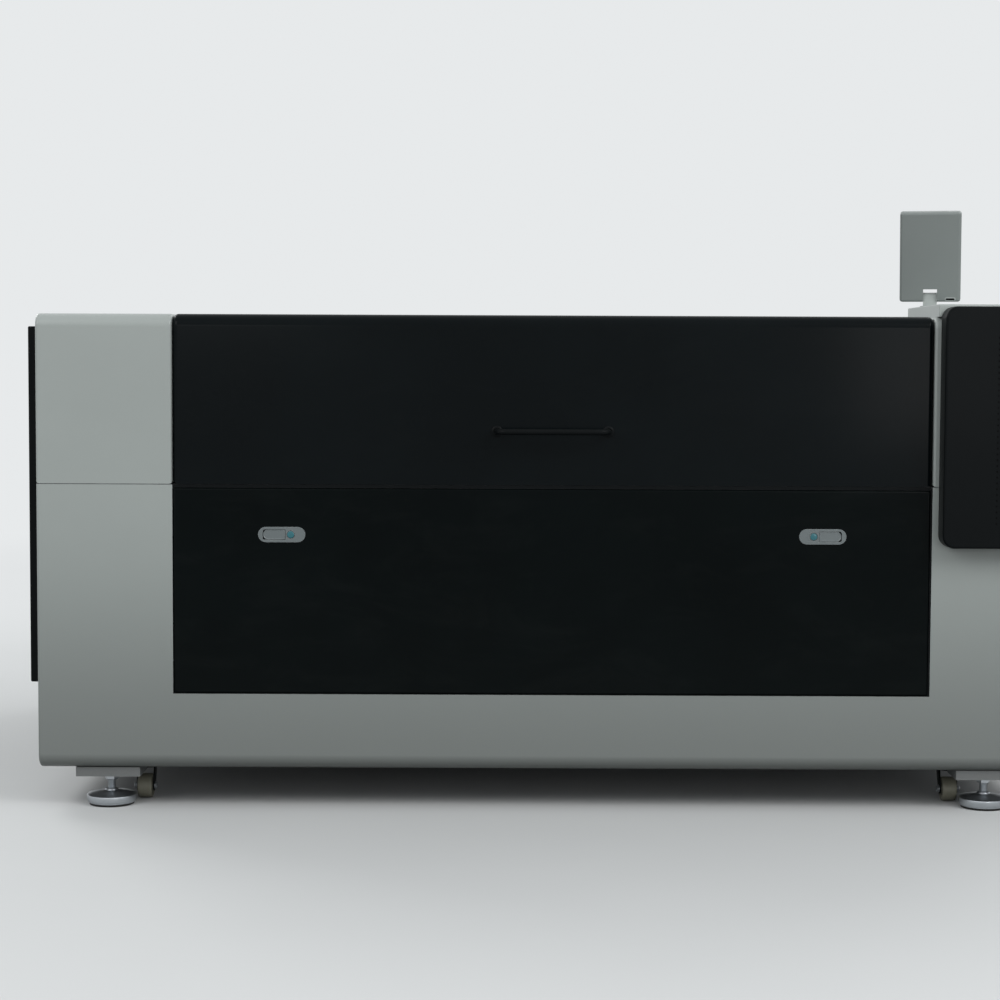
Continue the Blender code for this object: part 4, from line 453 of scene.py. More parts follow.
cabinet = folded_case(
    "lower_cabinet", cabinet_low, cabinet_high, ("top",),
    (((("front", "bottom"), ("rear", "bottom")), 0.030, 12),), 0.006,
)
open_up(
    cabinet,
    box_cutter((-1.009, -0.705, 0.07), (1.009, 0.705, 0.13)),
    box_cutter((left_cover_high.x, -0.76, opening_low), (right_cover_low.x, -0.74, 0.68)),
    box_cutter(
        (louvre_low.x + 0.02, 0.74, louvre_low.z + 0.02), (louvre_high.x - 0.02, 0.76, louvre_high.z - 0.02)
    ),
    round_cutter(0.073, (EXHAUST_X, 0.740, EXHAUST_Z), (0, 1, 0), 0.02),
)
finish_piece(cabinet, "root", "white_paint", white_coat, "cabinet_shell")


# The top covers left, right and behind the lid are folded from the same sheet in the same white. Their
# front and rear top edges are pressed to a soft fold, a flange turns in round the open bottom, and the
# left and right ones carry the studs of the lid's gas springs.
SPRING_LOW, SPRING_HIGH = Vector((0, 0.300, 0.700)), Vector((0, -0.150, 0.9563))


def top_cover(name, low, high, pairs, stud_side, node):
    cover = folded_case(name, low, high, (), ((pairs, 0.025, 10),), 0.006)
    flange = 0.021
    open_up(cover, box_cutter(
        (low[0] + flange, low[1] + flange, low[2] - 0.01), (high[0] - flange, high[1] - flange, low[2] + 0.01)
    ))
    if stud_side:
        bm = bmesh.new()
        bm.from_mesh(cover.data)
        wall_x = high[0] if stud_side > 0 else low[0]
        turned(
            bm,
            [(0.0065, -0.0005), (0.0065, 0.003), (0.004, 0.004), (0.004, 0.022), (0.0032, 0.023), (0, 0.023)],
            (wall_x, SPRING_LOW.y, SPRING_LOW.z), (stud_side, 0, 0), 20,
        )
        bm.to_mesh(cover.data)
        bm.free()
    finish_piece(cover, "root", "white_paint", white_coat, node)


front_and_rear = (("front", "top"), ("rear", "top"))
rear_cover_low, rear_cover_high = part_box("rear_top_cover")
top_cover("left_cover", left_cover_low, left_cover_high, front_and_rear, 1, "left_top_cover")
top_cover("right_cover", right_cover_low, right_cover_high, front_and_rear, -1, "right_top_cover")
top_cover("rear_cover", rear_cover_low, rear_cover_high, (("rear", "top"),), 0, "rear_top_cover")


# The lid is one black panel folded over the work space: front and top in one sheet with a soft fold
# between, flanges turned in along its sides, and a tab with a stud on each side for its gas spring.
black_coat = coated(
    "black_gloss_coat", (0.0026, 0.0044, 0.0052), 0.30, grain=0.0012, bump=0.05, spread=0.12, dust=0.06,
    reach=0.62, smears=0.018, dust_colour=(0.06, 0.062, 0.06), wear_and_sheen=0.20, bare_and_sheen=(0.035, 0.037, 0.039),
    specular=0.035, coat=0.07,
)
lid = folded_case("lid", lid_low, lid_high, ("rear",), (((("front", "top"),), 0.025, 10),), 0.010)
LID_FLANGE = 0.03
open_up(lid, box_cutter(
    (lid_low.x - 0.01, lid_low.y + LID_FLANGE, lid_low.z - 0.01),
    (lid_high.x + 0.01, lid_high.y + 0.01, lid_high.z - LID_FLANGE),
))
lid_bm = bmesh.new()
lid_bm.from_mesh(lid.data)
for wall_x, inward in ((lid_low.x, 1), (lid_high.x, -1)):
    tab_x = sorted((wall_x, wall_x + inward * SHEET))
    tab_y = (SPRING_HIGH.y - 0.008, SPRING_HIGH.y + 0.008)
    put_box(lid_bm, (tab_x[0], tab_y[0], 0.948), (tab_x[1], tab_y[1], lid_high.z - 0.029))
    turned(
        lid_bm, [(0.0065, 0.0), (0.0065, 0.004), (0.004, 0.005), (0.004, 0.0132), (0, 0.0132)],
        (wall_x, SPRING_HIGH.y, SPRING_HIGH.z), (inward, 0, 0), 20,
    )
lid_bm.to_mesh(lid.data)
lid_bm.free()
finish_piece(lid, "lid", "black_gloss", black_coat, "lid_panel")


# The lid handle is a 12 mm round bow of satin black bar, bent at both ends and screwed to the lid
# through two round feet.
satin_coat = coated(
    "black_satin_coat", (0.0054, 0.0066, 0.0072), 0.42, grain=0.0009, bump=0.12, spread=0.10, dust=0.10,
    reach=0.35, dust_colour=(0.08, 0.08, 0.075), wear_and_sheen=0.25, bare_and_sheen=(0.12, 0.122, 0.12), specular=0.045,
    coat=0.018,
)


def put_tube(bm, points, radius, sides):
    """Adds a round bar with closed ends along a path."""
    points = [Vector(point) for point in points]
    angles = [math.tau * step / sides for step in range(sides)]
    rings = []
    side = None
    for index, point in enumerate(points):
        ahead = points[min(index + 1, len(points) - 1)] - points[max(index - 1, 0)]
        ahead.normalize()
        if side is None:
            side = ahead.orthogonal().normalized()
        side = (side - ahead * side.dot(ahead)).normalized()
        across = ahead.cross(side)
        rings.append([
            bm.verts.new(point + radius * (side * math.cos(a) + across * math.sin(a))) for a in angles
        ])
    for low, high in zip(rings, rings[1:]):
        for i in range(sides):
            j = (i + 1) % sides
            bm.faces.new((low[i], low[j], high[j], high[i]))
    bm.faces.new(list(reversed(rings[0])))
    bm.faces.new(rings[-1])


def arc(centre, radius, start, end, steps):
    """Points on an arc in a plane, angles in degrees."""
    angles = [math.radians(start + (end - start) * step / steps) for step in range(steps + 1)]
    return [(centre[0] + radius * math.cos(a), centre[1] + radius * math.sin(a)) for a in angles]


handle_low, handle_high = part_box("lid_handle")
handle_z = (handle_low.z + handle_high.z) / 2
BAR_RADIUS, HANDLE_FOOT, BEND = 0.006, 0.011, 0.018
handle_ends = (handle_low.x + HANDLE_FOOT, handle_high.x - HANDLE_FOOT)
handle_out = handle_low.y + BAR_RADIUS
handle_path = [(handle_ends[0], handle_high.y)]
handle_path += arc((handle_ends[0] + BEND, handle_out + BEND), BEND, 180, 270, 10)
handle_path += arc((handle_ends[1] - BEND, handle_out + BEND), BEND, 270, 360, 10)
handle_path.append((handle_ends[1], handle_high.y))
handle_bm = bmesh.new()
put_tube(handle_bm, [(x, y, handle_z) for x, y in handle_path], BAR_RADIUS, 24)
for end in handle_ends:
    turned(
        handle_bm, [(0, 0), (HANDLE_FOOT, 0), (HANDLE_FOOT, 0.003), (0.0098, 0.004), (0.0070, 0.0046)],
        (end, handle_high.y, handle_z), (0, -1, 0), 32,
    )
finish_piece(new_piece("lid_bow_handle", handle_bm), "lid", "black_satin", satin_coat, "lid_handle")


# The lid turns on a zinc-plated piano hinge: two leaves of 2 mm strip, five rolled knuckles in turn on
# one pin. One leaf is screwed to the lid's rear edge, the other to the rear cover.
def brushed_metal(
    name, colour, roughness, stretch, spread=0.10, dust=0.10, stain=(0.2, 0.2, 0.2), stained=0.0, bump=0.12,
):
    """Bare or plated metal with a drawn grain, cloudy tone and dull stains."""
    finish, tree, shader = new_finish(name, Metallic=1.0)
    place = own_place(tree)
    drawn = add_node(tree, "ShaderNodeMapping", {"Vector": place, "Scale": stretch}).outputs[0]
    grain_out = use_group(tree, surface_grain, Vector=drawn, Grain_Size=0.0016, Tone_Size=0.10)
    cloud = use_group(tree, surface_grain, Vector=place, Grain_Size=0.004, Tone_Size=0.05)["Tone"]
    dust_mask = use_group(tree, settled_dust, Vector=place, Amount=dust, Reach=0.25, Smears=0.04)["Mask"]
    toned = mixed(tree, grain_out["Tone"], rgba(colour, 1 - spread), rgba(colour, 1 + spread))
    stained_tone = mixed(tree, calc(tree, "MULTIPLY", cloud, stained), toned, rgba(stain))
    dusty = mixed(tree, dust_mask, stained_tone, (0.26, 0.25, 0.23, 1.0))
    tree.links.new(dusty, shader.inputs["Base Color"])
    rough = ramp(tree, cloud, 0.0, 1.0, roughness - 0.06, roughness + 0.12)
    rough_dust = calc(tree, "MULTIPLY_ADD", dust_mask, 0.3, rough, clamp=True)
    tree.links.new(rough_dust, shader.inputs["Roughness"])
    add_relief(tree, shader, bump, 0.0003, grain_out["Height"])
    return finish


zinc_plate = brushed_metal(
    "zinc_plated_steel", (0.50, 0.53, 0.56), 0.32, (1.0, 1.0, 1.0), stain=(0.34, 0.36, 0.38), stained=0.5
)


def ring_section(inner, outer, height, across, along):
    """The section of a ring, or of a disc where inner is 0, its outer edges cut off by across and along."""
    return [
        (inner, 0), (outer - across, 0), (outer, along), (outer, height - along), (outer - across, height),
        (inner, height),
    ]


hinge_low, hinge_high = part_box("lid_hinge_leaf")
HINGE_Y, HINGE_Z, KNUCKLES = 0.450, 1.0063, 5
LEAF_Z = (1.0003, 1.0023)
KNUCKLE_GAP, PIN_LENGTH = 0.0003, 1.3194
knuckle_length = (hinge_high.x - hinge_low.x) / KNUCKLES
for piece_name, node, body, first, leaf_y in (
    ("lid_leaf", "lid_hinge_leaf", "lid", 0, (0.415, 0.4434)),
    ("cover_leaf", "fixed_hinge_leaf", "root", 1, (0.4566, 0.485)),
):
    leaf_bm = bmesh.new()
    put_box(leaf_bm, (hinge_low.x, leaf_y[0], LEAF_Z[0]), (hinge_high.x, leaf_y[1], LEAF_Z[1]))
    lug_y = sorted((leaf_y[1 - first], HINGE_Y + (0.001 if first else -0.001)))
    length = knuckle_length - 2 * KNUCKLE_GAP
    for index in range(first, KNUCKLES, 2):
        start = hinge_low.x + index * knuckle_length + KNUCKLE_GAP
        put_box(leaf_bm, (start, lug_y[0], LEAF_Z[0]), (start + length, lug_y[1], LEAF_Z[1]))
        knuckle = ring_section(0.0031, 0.006, length, 0.0006, 0.0006)
        turned(leaf_bm, knuckle, (start, HINGE_Y, HINGE_Z), (1, 0, 0), 24, closed=True)
    if first == 1:
        pin = ring_section(0, 0.0029, PIN_LENGTH, 0.0005, 0.0008)
        turned(leaf_bm, pin, (hinge_low.x + KNUCKLE_GAP, HINGE_Y, HINGE_Z), (1, 0, 0), 20)
    finish_piece(new_piece(piece_name, leaf_bm), body, "zinc", zinc_plate, node)


# Two gas springs hold the lid up: a black painted tube with a rolled end and a seal cap, a bright
# ground rod, and an eye at each end that turns on a stud.
ground_steel = brushed_metal(
    "ground_rod_steel", (0.62, 0.64, 0.66), 0.20, (1.0, 30.0, 1.0), spread=0.05, dust=0.04
)
EYE_WIDTH = 0.008
eye_start = Vector((-EYE_WIDTH / 2, 0, 0))
spring_run = SPRING_HIGH - SPRING_LOW
spring_span = spring_run.length
spring_axis = spring_run.normalized()
tube_end = spring_span * 0.80
for side_name, spring_x in (("left", -0.738), ("right", 0.748)):
    foot = SPRING_LOW + Vector((spring_x, 0, 0))
    tube_bm = bmesh.new()
    turned(
        tube_bm,
        [(0.0042, 0.006), (0.0042, 0.014), (0.0075, 0.0145), (0.009, 0.018), (0.009, tube_end - 0.012),
         (0.0086, tube_end - 0.010), (0.0086, tube_end - 0.008), (0.009, tube_end - 0.006),
         (0.0088, tube_end - 0.002), (0.0076, tube_end), (0.0043, tube_end), (0.0043, 0.028), (0, 0.028)],
        foot, spring_axis, 32,
    )
    tube_eye = ring_section(0.0042, 0.008, EYE_WIDTH, 0.0006, 0.0008)
    turned(tube_bm, tube_eye, foot + eye_start, (1, 0, 0), 28, closed=True)
    finish_piece(
        new_piece(side_name + "_gas_tube", tube_bm), side_name + "_spring", "black_satin", satin_coat,
        side_name + "_spring_cylinder",
    )
    rod_bm = bmesh.new()
    turned(
        rod_bm,
        [(0, 0.043), (0.0035, 0.043), (0.004, 0.044), (0.004, spring_span - 0.004), (0.0036, spring_span)],
        foot, spring_axis, 24,
    )
    rod_eye = ring_section(0, 0.008, EYE_WIDTH, 0.0008, 0.0008)
    turned(rod_bm, rod_eye, foot + spring_axis * spring_span + eye_start, (1, 0, 0), 28)
    finish_piece(
        new_piece(side_name + "_gas_rod", rod_bm), side_name + "_rod", "zinc", ground_steel,
        side_name + "_spring_rod",
    )


# The lower black panel is the front of the scrap drawer: a shallow pan of sheet, its edges rounded and
# its back flanges seated on the tray. Lettering on the real one is left off, so the panel stays bare.
drawer_coat = coated(
    "drawer_black_coat", (0.0020, 0.0036, 0.0038), 0.33, grain=0.0012, bump=0.06, spread=0.16, dust=0.08,
    reach=0.60, smears=0.05, dust_colour=(0.055, 0.06, 0.058), wear_and_sheen=0.20, bare_and_sheen=(0.035, 0.037, 0.039),
    specular=0.02, coat=0.05,
)
LATCH_Z = 0.559


def pill(length, height, steps=14):
    """The outline of a slot with round ends."""
    radius = height / 2
    middle = length / 2 - radius
    return arc((middle, 0), radius, -90, 90, steps) + arc((-middle, 0), radius, 90, 270, steps)


def put_plate(bm, rings):
    """Adds a closed stack of outlines with as many points each; a ring is (outline, y)."""
    layers = [[bm.verts.new((x, y, z)) for x, z in outline] for outline, y in rings]
    for low, high in zip(layers, layers[1:]):
        for i in range(len(low)):
            j = (i + 1) % len(low)
            bm.faces.new((low[i], low[j], high[j], high[i]))
    bm.faces.new(list(reversed(layers[0])))
    bm.faces.new(layers[-1])
    bmesh.ops.recalc_face_normals(bm, faces=bm.faces)


def moved(outline, x, z):
    return [(px + x, pz + z) for px, pz in outline]


latch_places = (("left", -0.5375, -1), ("right", 0.5475, 1))
drawer_face = folded_case(
    "drawer_panel", drawer_low, drawer_high, (),
    (([("front", other) for other in ("top", "bottom", "left", "right")], 0.004, 4),),
)
PAN_FLANGE = 0.07
drawer_cutters = [box_cutter(
    (drawer_low.x + PAN_FLANGE, drawer_high.y - 0.01, drawer_low.z + PAN_FLANGE),
    (drawer_high.x - PAN_FLANGE, drawer_high.y + 0.01, drawer_high.z - PAN_FLANGE),
)]
for side_name, latch_x, side in latch_places:
    hole_bm = bmesh.new()
    hole = moved(pill(0.0896, 0.0256), latch_x, LATCH_Z)
    put_plate(hole_bm, [(hole, -0.760), (hole, -0.740)])
    drawer_cutters.append(hole_bm)
open_up(drawer_face, *drawer_cutters)
finish_piece(drawer_face, "drawer", "black_gloss", drawer_coat, "drawer_front")
# Painted shade: thin black strips set behind the drawer's right, bottom and top gaps, so the gaps read dark
# where the grey frame would show through.
gap_shade_bm = bmesh.new()
GAP_SHADE_FACE, GAP_SHADE_BACK, GAP_SHADE_THIN = -0.7490, -0.7400, 0.0009
for low, high in (
    ((drawer_high.x + GAP_SHADE_THIN, GAP_SHADE_FACE, opening_low), (right_cover_low.x, GAP_SHADE_BACK, 0.655)),
    ((left_cover_high.x, GAP_SHADE_FACE, opening_low), (right_cover_low.x, GAP_SHADE_BACK, opening_low + GAP_SHADE_THIN)),
    ((lid_low.x, -0.7489, drawer_high.z + 0.0008), (drawer_high.x + 0.0007, -0.7474, lid_low.z - 0.0006)),
):
    put_box(gap_shade_bm, low, high)
finish_piece(new_piece("drawer_gap_shade_strips", gap_shade_bm), "root", "black_satin", satin_coat)


# Each drawer latch is a flush moulding in silver-grey plastic: a pill-shaped bezel let into the panel,
# a paddle that springs out on its outer end, and a round push button with a teal centre.
latch_grey = coated(
    "silver_grey_moulding", (0.128, 0.152, 0.157), 0.30, grain=0.0006, bump=0.10, spread=0.05, dust=0.10,
    reach=0.3, dust_colour=(0.30, 0.30, 0.28), wear_and_sheen=0.6, bare_and_sheen=(0.50, 0.52, 0.53), specular=0.6, coat=0.15,
)
latch_teal = coated(
    "teal_button_plastic", (0.012, 0.135, 0.165), 0.28, grain=0.0005, bump=0.08, spread=0.08, dust=0.05,
    reach=0.3, wear_and_sheen=0.5, bare_and_sheen=(0.10, 0.42, 0.46), specular=0.5, coat=0.25,
)


def node_copy(name, node):
    """A merged copy of a CAD node, with its flat faces whole again."""
    bm = bmesh.new()
    bm.from_mesh(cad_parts[node].data)
    bmesh.ops.remove_doubles(bm, verts=bm.verts, dist=0.00001)
    bmesh.ops.dissolve_limit(
        bm, angle_limit=math.radians(0.5), verts=bm.verts, edges=bm.edges, delimit=set(),
        use_dissolve_boundaries=False,
    )
    bmesh.ops.triangulate(bm, faces=[face for face in bm.faces if len(face.verts) > 4])
    return new_piece(name, bm)


def finish_copy(name, node, body, slot_name, finish, angle=32.0):
    """A piece whose shape is right in the CAD: its node's merged copy, shaded and in its finish."""
    finish_piece(node_copy(name, node), body, slot_name, finish, node, angle=angle)


LATCH_LONG, LATCH_TALL = 0.0950, 0.0310
PADDLE_REACH, PADDLE_ROUND, PADDLE_INNER = 0.0375, 0.0102, 0.0072
SLOT_PLAY = 0.0007
PIVOT_REACH, PIVOT_Y, PIVOT_HALF = 0.0315, -0.7455, 0.0103
BUTTON_REACH, BUTTON_BACK = 0.018, -0.7365


def latch_tongue(latch_x, side, grow):
    """The paddle's outline: a full round outer end and a square inner one, towards the button."""
    radius = PADDLE_ROUND + grow
    outer = latch_x + side * (PADDLE_REACH - PADDLE_ROUND)
    inner = latch_x - side * (PADDLE_INNER + grow)
    outline = [(outer + side * x, LATCH_Z + z) for x, z in arc((0, 0), radius, -90, 90, 16)]
    return outline + [(inner, LATCH_Z + radius), (inner, LATCH_Z - radius)]


for side_name, latch_x, side in latch_places:
    button_x = latch_x - side * BUTTON_REACH
    finish_copy(side_name + "_bezel", side_name + "_latch_bezel", "drawer", "grey_plastic", latch_grey)
    face_bm = bmesh.new()
    put_plate(face_bm, [
        (moved(pill(LATCH_LONG - trim, LATCH_TALL - trim), latch_x, LATCH_Z), y)
        for trim, y in ((0.0, -0.7504), (0.0, -0.7515), (0.0006, -0.7521), (0.0020, -0.7523))
    ])
    face_plate = new_piece(side_name + "_latch_face", face_bm)
    slot_x = sorted(latch_x + side * end for end in (PADDLE_REACH + SLOT_PLAY, -PADDLE_INNER - SLOT_PLAY))
    slot_half = PADDLE_ROUND + SLOT_PLAY
    slot_cutter = box_cutter(
        (slot_x[0], -0.7600, LATCH_Z - slot_half), (slot_x[1], -0.7450, LATCH_Z + slot_half)
    )
    slot_cutter.normal_update()
    slot_edges = [
        edge for end in ("bottom", "top")
        for edge in edges_between(slot_cutter, "left" if side < 0 else "right", end)
    ]
    round_edges(slot_cutter, slot_edges, 0.005, 6)
    open_up(face_plate, slot_cutter, round_cutter(0.0086, (button_x, -0.760, LATCH_Z), (0, 1, 0), 0.015))
    finish_piece(face_plate, "drawer", "grey_plastic", latch_grey)
    paddle_bm = bmesh.new()
    put_plate(paddle_bm, [
        (latch_tongue(latch_x, side, grow), y) for grow, y in (
            (0.0, -0.7475), (0.0, -0.7510), (-0.0006, -0.7516), (-0.0016, -0.7516), (-0.0022, -0.7512),
            (-0.0030, -0.7512),
        )
    ])
    turned(
        paddle_bm, [(0, 0), (0.003, 0), (0.003, 2 * PIVOT_HALF), (0, 2 * PIVOT_HALF)],
        (latch_x + side * PIVOT_REACH, PIVOT_Y, LATCH_Z - PIVOT_HALF), (0, 0, 1), 20,
    )
    finish_piece(
        new_piece(side_name + "_paddle_grip", paddle_bm), side_name + "_paddle", "grey_plastic", latch_grey,
        side_name + "_latch_paddle",
    )
    cap_bm = bmesh.new()
    turned(
        cap_bm,
        [(0, 0.0), (0.008, 0.0), (0.008, 0.0152), (0.0078, 0.0157), (0.0074, 0.0158), (0.0072, 0.0155),
         (0.0072, 0.0145)],
        (button_x, BUTTON_BACK, LATCH_Z), (0, -1, 0), 40,
    )
    finish_piece(
        new_piece(side_name + "_button_cap", cap_bm), side_name + "_button", "grey_plastic", latch_grey,
        side_name + "_latch_button",
    )
    centre_bm = bmesh.new()
    turned(
        centre_bm, [(0.0071, 0.0140), (0.0071, 0.0151), (0.0062, 0.0158), (0.0035, 0.0160), (0, 0.0160)],
        (button_x, BUTTON_BACK, LATCH_Z), (0, -1, 0), 40,
    )
    finish_piece(
        new_piece(side_name + "_button_centre", centre_bm), side_name + "_button", "teal_plastic", latch_teal
    )


# The scrap tray is an open folded box in grey paint with a slide bar on each side; it runs in two
# C-shaped steel runners that are screwed to the inner posts.
frame_paint = coated(
    "frame_grey_paint", (0.16, 0.17, 0.172), 0.50, grain=0.0022, bump=0.2, spread=0.08, dust=0.45,
    reach=0.25, dust_colour=(0.24, 0.235, 0.22), wear_and_sheen=0.5, bare_and_sheen=(0.38, 0.38, 0.37), specular=0.35,
)


def keep_node(node, finish):
    """A CAD node whose shape is right stays, and gets a better finish."""
    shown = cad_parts[node]
    if not shown.material_slots:
        shown.data.materials.append(finish)
    for material_slot in shown.material_slots:
        material_slot.material = finish


keep_node("drawer_tray", frame_paint)
keep_node("left_drawer_runner", zinc_plate)
keep_node("right_drawer_runner", zinc_plate)


# The tube frame is welded from 50 mm square steel tube: bottom rails, posts, top ring and bed supports,
# with a thick plate under each corner for the levelling foot and a thin one for the caster.
keep_node("base_frame", frame_paint)


# Each levelling foot is a zinc-plated pressed pad on a rubber sole, a hub, and an M16 stud that screws
# up into the foot plate and is locked there by a nut.
sole_rubber = coated(
    "black_rubber", (0.014, 0.014, 0.014), 0.75, grain=0.0008, bump=0.3, spread=0.15, dust=0.35, reach=0.05,
    dust_colour=(0.12, 0.115, 0.105), wear_and_sheen=0.0, specular=0.2,
)
FOOT_X, FOOT_Y = 0.893, 0.685
THREAD_LOW, THREAD_HIGH, PITCH = 0.0326, 0.1080, 0.0020
NUT_LOW, NUT_HEIGHT, NUT_RADIUS = 0.0507, 0.013, 0.0140
PAD = [
    (0, 0.0042), (0.0440, 0.0042), (0.0470, 0.0047), (0.0496, 0.0080), (0.0506, 0.0110), (0.0508, 0.0180),
    (0.0502, 0.0204), (0.0484, 0.0220), (0.0420, 0.0236), (0.0330, 0.0252), (0.0230, 0.0268),
    (0.0172, 0.0276), (0.0140, 0.0290), (0.0132, 0.0306), (0.0122, 0.0322), (0.0080, 0.0326),
]
thread = [
    (radius, THREAD_LOW + turn * PITCH + rise) for turn in range(int((THREAD_HIGH - THREAD_LOW) / PITCH))
    for radius, rise in ((0.0070, 0.0002), (0.0080, 0.0009), (0.0080, 0.0012), (0.0070, 0.0019))
]
corner_sides = {
    end + "_" + hand: (x_side, y_side)
    for end, y_side in (("front", -1), ("rear", 1)) for hand, x_side in (("left", -1), ("right", 1))
}
for corner, (x_side, y_side) in corner_sides.items():
    foot = Vector((x_side * FOOT_X, y_side * FOOT_Y, 0))
    foot_bm = bmesh.new()
    turned(foot_bm, PAD + thread + [(0.0072, 0.1112), (0.0064, 0.1127), (0, 0.1127)], foot, (0, 0, 1), 40)
    nut = ring_section(0.0082, NUT_RADIUS, NUT_HEIGHT, 0.0015, 0.0014)
    turned(foot_bm, nut, foot + Vector((0, 0, NUT_LOW)), (0, 0, 1), 6, closed=True)
    finish_piece(
        new_piece(corner + "_foot_metal", foot_bm), "root", "zinc", zinc_plate, corner + "_foot", angle=28.0
    )
    sole_bm = bmesh.new()
    turned(
        sole_bm, [(0, 0.0), (0.0440, 0.0), (0.0452, 0.0008), (0.0458, 0.0036), (0.0450, 0.0041), (0, 0.0041)],
        foot, (0, 0, 1), 48,
    )
    finish_piece(new_piece(corner + "_foot_sole", sole_bm), "root", "black_satin", sole_rubber)


# Each swivel caster is a black pressed fork under a ball race on its kingpin, with a beige nylon wheel
# on an axle bolt whose hexagon head and nut stand outside the fork's legs.
# The beige below is set darker than clean nylon: painted shade for the shade the wheels stand in under the
# cabinet.
wheel_nylon = coated(
    "beige_nylon", (0.21, 0.205, 0.155), 0.45, grain=0.0010, bump=0.15, spread=0.08, dust=0.5, reach=0.06,
    dust_colour=(0.16, 0.15, 0.13), wear_and_sheen=0.3, bare_and_sheen=(0.30, 0.29, 0.25), specular=0.4,
)
CASTER_X, CASTER_Y, TRAIL, AXLE_Z = 0.832, 0.607, 0.020, 0.0265
WHEEL_HALF = [
    (0.0044, 0.0146), (0.0080, 0.0146), (0.0092, 0.0136), (0.0100, 0.0112), (0.0175, 0.0112),
    (0.0190, 0.0136), (0.0200, 0.0146), (0.0212, 0.0150), (0.0236, 0.0140), (0.0247, 0.0118),
    (0.0250, 0.0090),
]
wheel_section = [(radius, -out) for radius, out in WHEEL_HALF] + WHEEL_HALF[::-1]
for corner, (x_side, y_side) in corner_sides.items():
    kingpin = Vector((x_side * CASTER_X, y_side * CASTER_Y, 0))
    axle = kingpin + Vector((0, -TRAIL, AXLE_Z))
    fork = node_copy(corner + "_fork_press", corner + "_caster_fork")
    fork_bm = bmesh.new()
    fork_bm.from_mesh(fork.data)
    for race_z, race_radius in ((0.0640, 0.0252), (0.0700, 0.0246)):
        race = ring_section(race_radius - 0.006, race_radius, 0.004, 0.0008, 0.001)
        turned(fork_bm, race, kingpin + Vector((0, 0, race_z)), (0, 0, 1), 40, closed=True)
    fork_bm.to_mesh(fork.data)
    fork_bm.free()
    finish_piece(fork, corner + "_fork", "black_satin", satin_coat, corner + "_caster_fork")
    bolt_bm = bmesh.new()
    for side in (-1, 1):
        start = axle + Vector((side * 0.0183, 0, 0))
        turned(
            bolt_bm, [(0, 0), (0.0078, 0), (0.0082, 0.0004), (0.0078, 0.0012), (0, 0.0012)], start,
            (side, 0, 0), 32,
        )
        turned(
            bolt_bm,
            [(0, 0.0012), (0.0064, 0.0012), (0.0066, 0.0020), (0.0066, 0.0046), (0.0058, 0.0054),
             (0, 0.0056)],
            start, (side, 0, 0), 6,
        )
    finish_piece(new_piece(corner + "_axle_bolt", bolt_bm), corner + "_fork", "zinc", zinc_plate, angle=28.0)
    wheel_bm = bmesh.new()
    turned(wheel_bm, wheel_section, axle, (1, 0, 0), 48, closed=True)
    finish_piece(
        new_piece(corner + "_nylon_wheel", wheel_bm), corner + "_wheel", "nylon", wheel_nylon,
        corner + "_caster_wheel",
    )


# The work space: a bed of toothed mild-steel slats in a bar frame, scorched where the beam has passed,
# two rail beams with ground guides, and a gantry beam that carries the head's carriage.
scorched_steel = brushed_metal(
    "scorched_mild_steel", (0.30, 0.29, 0.28), 0.48, (1.0, 1.0, 6.0), spread=0.25, dust=0.35,
    stain=(0.10, 0.075, 0.055), stained=0.75, bump=0.35,
)
milled_aluminium = brushed_metal(
    "machined_aluminium", (0.66, 0.67, 0.68), 0.34, (1.0, 26.0, 26.0), spread=0.06, dust=0.12,
    stain=(0.50, 0.51, 0.52), stained=0.3,
)
keep_node("slat_bed", scorched_steel)
for node in ("left_rail_beam", "right_rail_beam", "gantry_beam"):
    keep_node(node, milled_aluminium)
finish_copy("head_slide_plate", "head_carriage", "head", "machined_aluminium", milled_aluminium)
finish_copy("laser_cutting_head", "cutting_head", "nozzle", "machined_aluminium", milled_aluminium)


# The side bays hold the laser source, a long cabinet in black satin paint with two bow handles, and the
# zinc mounting plate with its row of drives.
finish_copy("laser_source_case", "laser_source", "root", "black_satin", satin_coat)
keep_node("electrical_plate", zinc_plate)


# The console box is a low white lid of sheet on the right cover, and the black control box hangs in
# front of it, folded from sheet with large round corners and a soft front edge. A field of small round
# vents and three control holes are punched in its face.
riser_low, riser_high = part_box("console_riser")
riser = folded_case("console_box", riser_low, riser_high, ("bottom",), ((front_and_rear, 0.004, 5),), 0.002)
finish_piece(riser, "root", "white_paint", white_coat, "console_riser")

control_low, control_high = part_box("control_box")
CONTROL_X, STOP_Z, START_Z, KEY_Z = 0.970, 0.900, 0.810, 0.730
case_bm = bmesh.new()
put_box(case_bm, control_low, control_high)
case_bm.normal_update()
case_corners = [
    edge for side in ("left", "right") for end in ("bottom", "top")
    for edge in edges_between(case_bm, side, end)
]
round_edges(case_bm, case_corners, 0.024, 12)
round_edges(case_bm, list({edge for face in facing_faces(case_bm, "front") for edge in face.edges}), 0.005, 5)
bmesh.ops.delete(case_bm, geom=facing_faces(case_bm, "rear"), context="FACES")
control_case = new_piece("control_case", case_bm)
give_sheet(control_case)
open_up(control_case, *[
    round_cutter(0.0114, (CONTROL_X, control_low.y - 0.01, z), (0, 1, 0), 0.02)
    for z in (STOP_Z, START_Z, KEY_Z)
])
finish_piece(control_case, "root", "black_satin", satin_coat, "control_box")


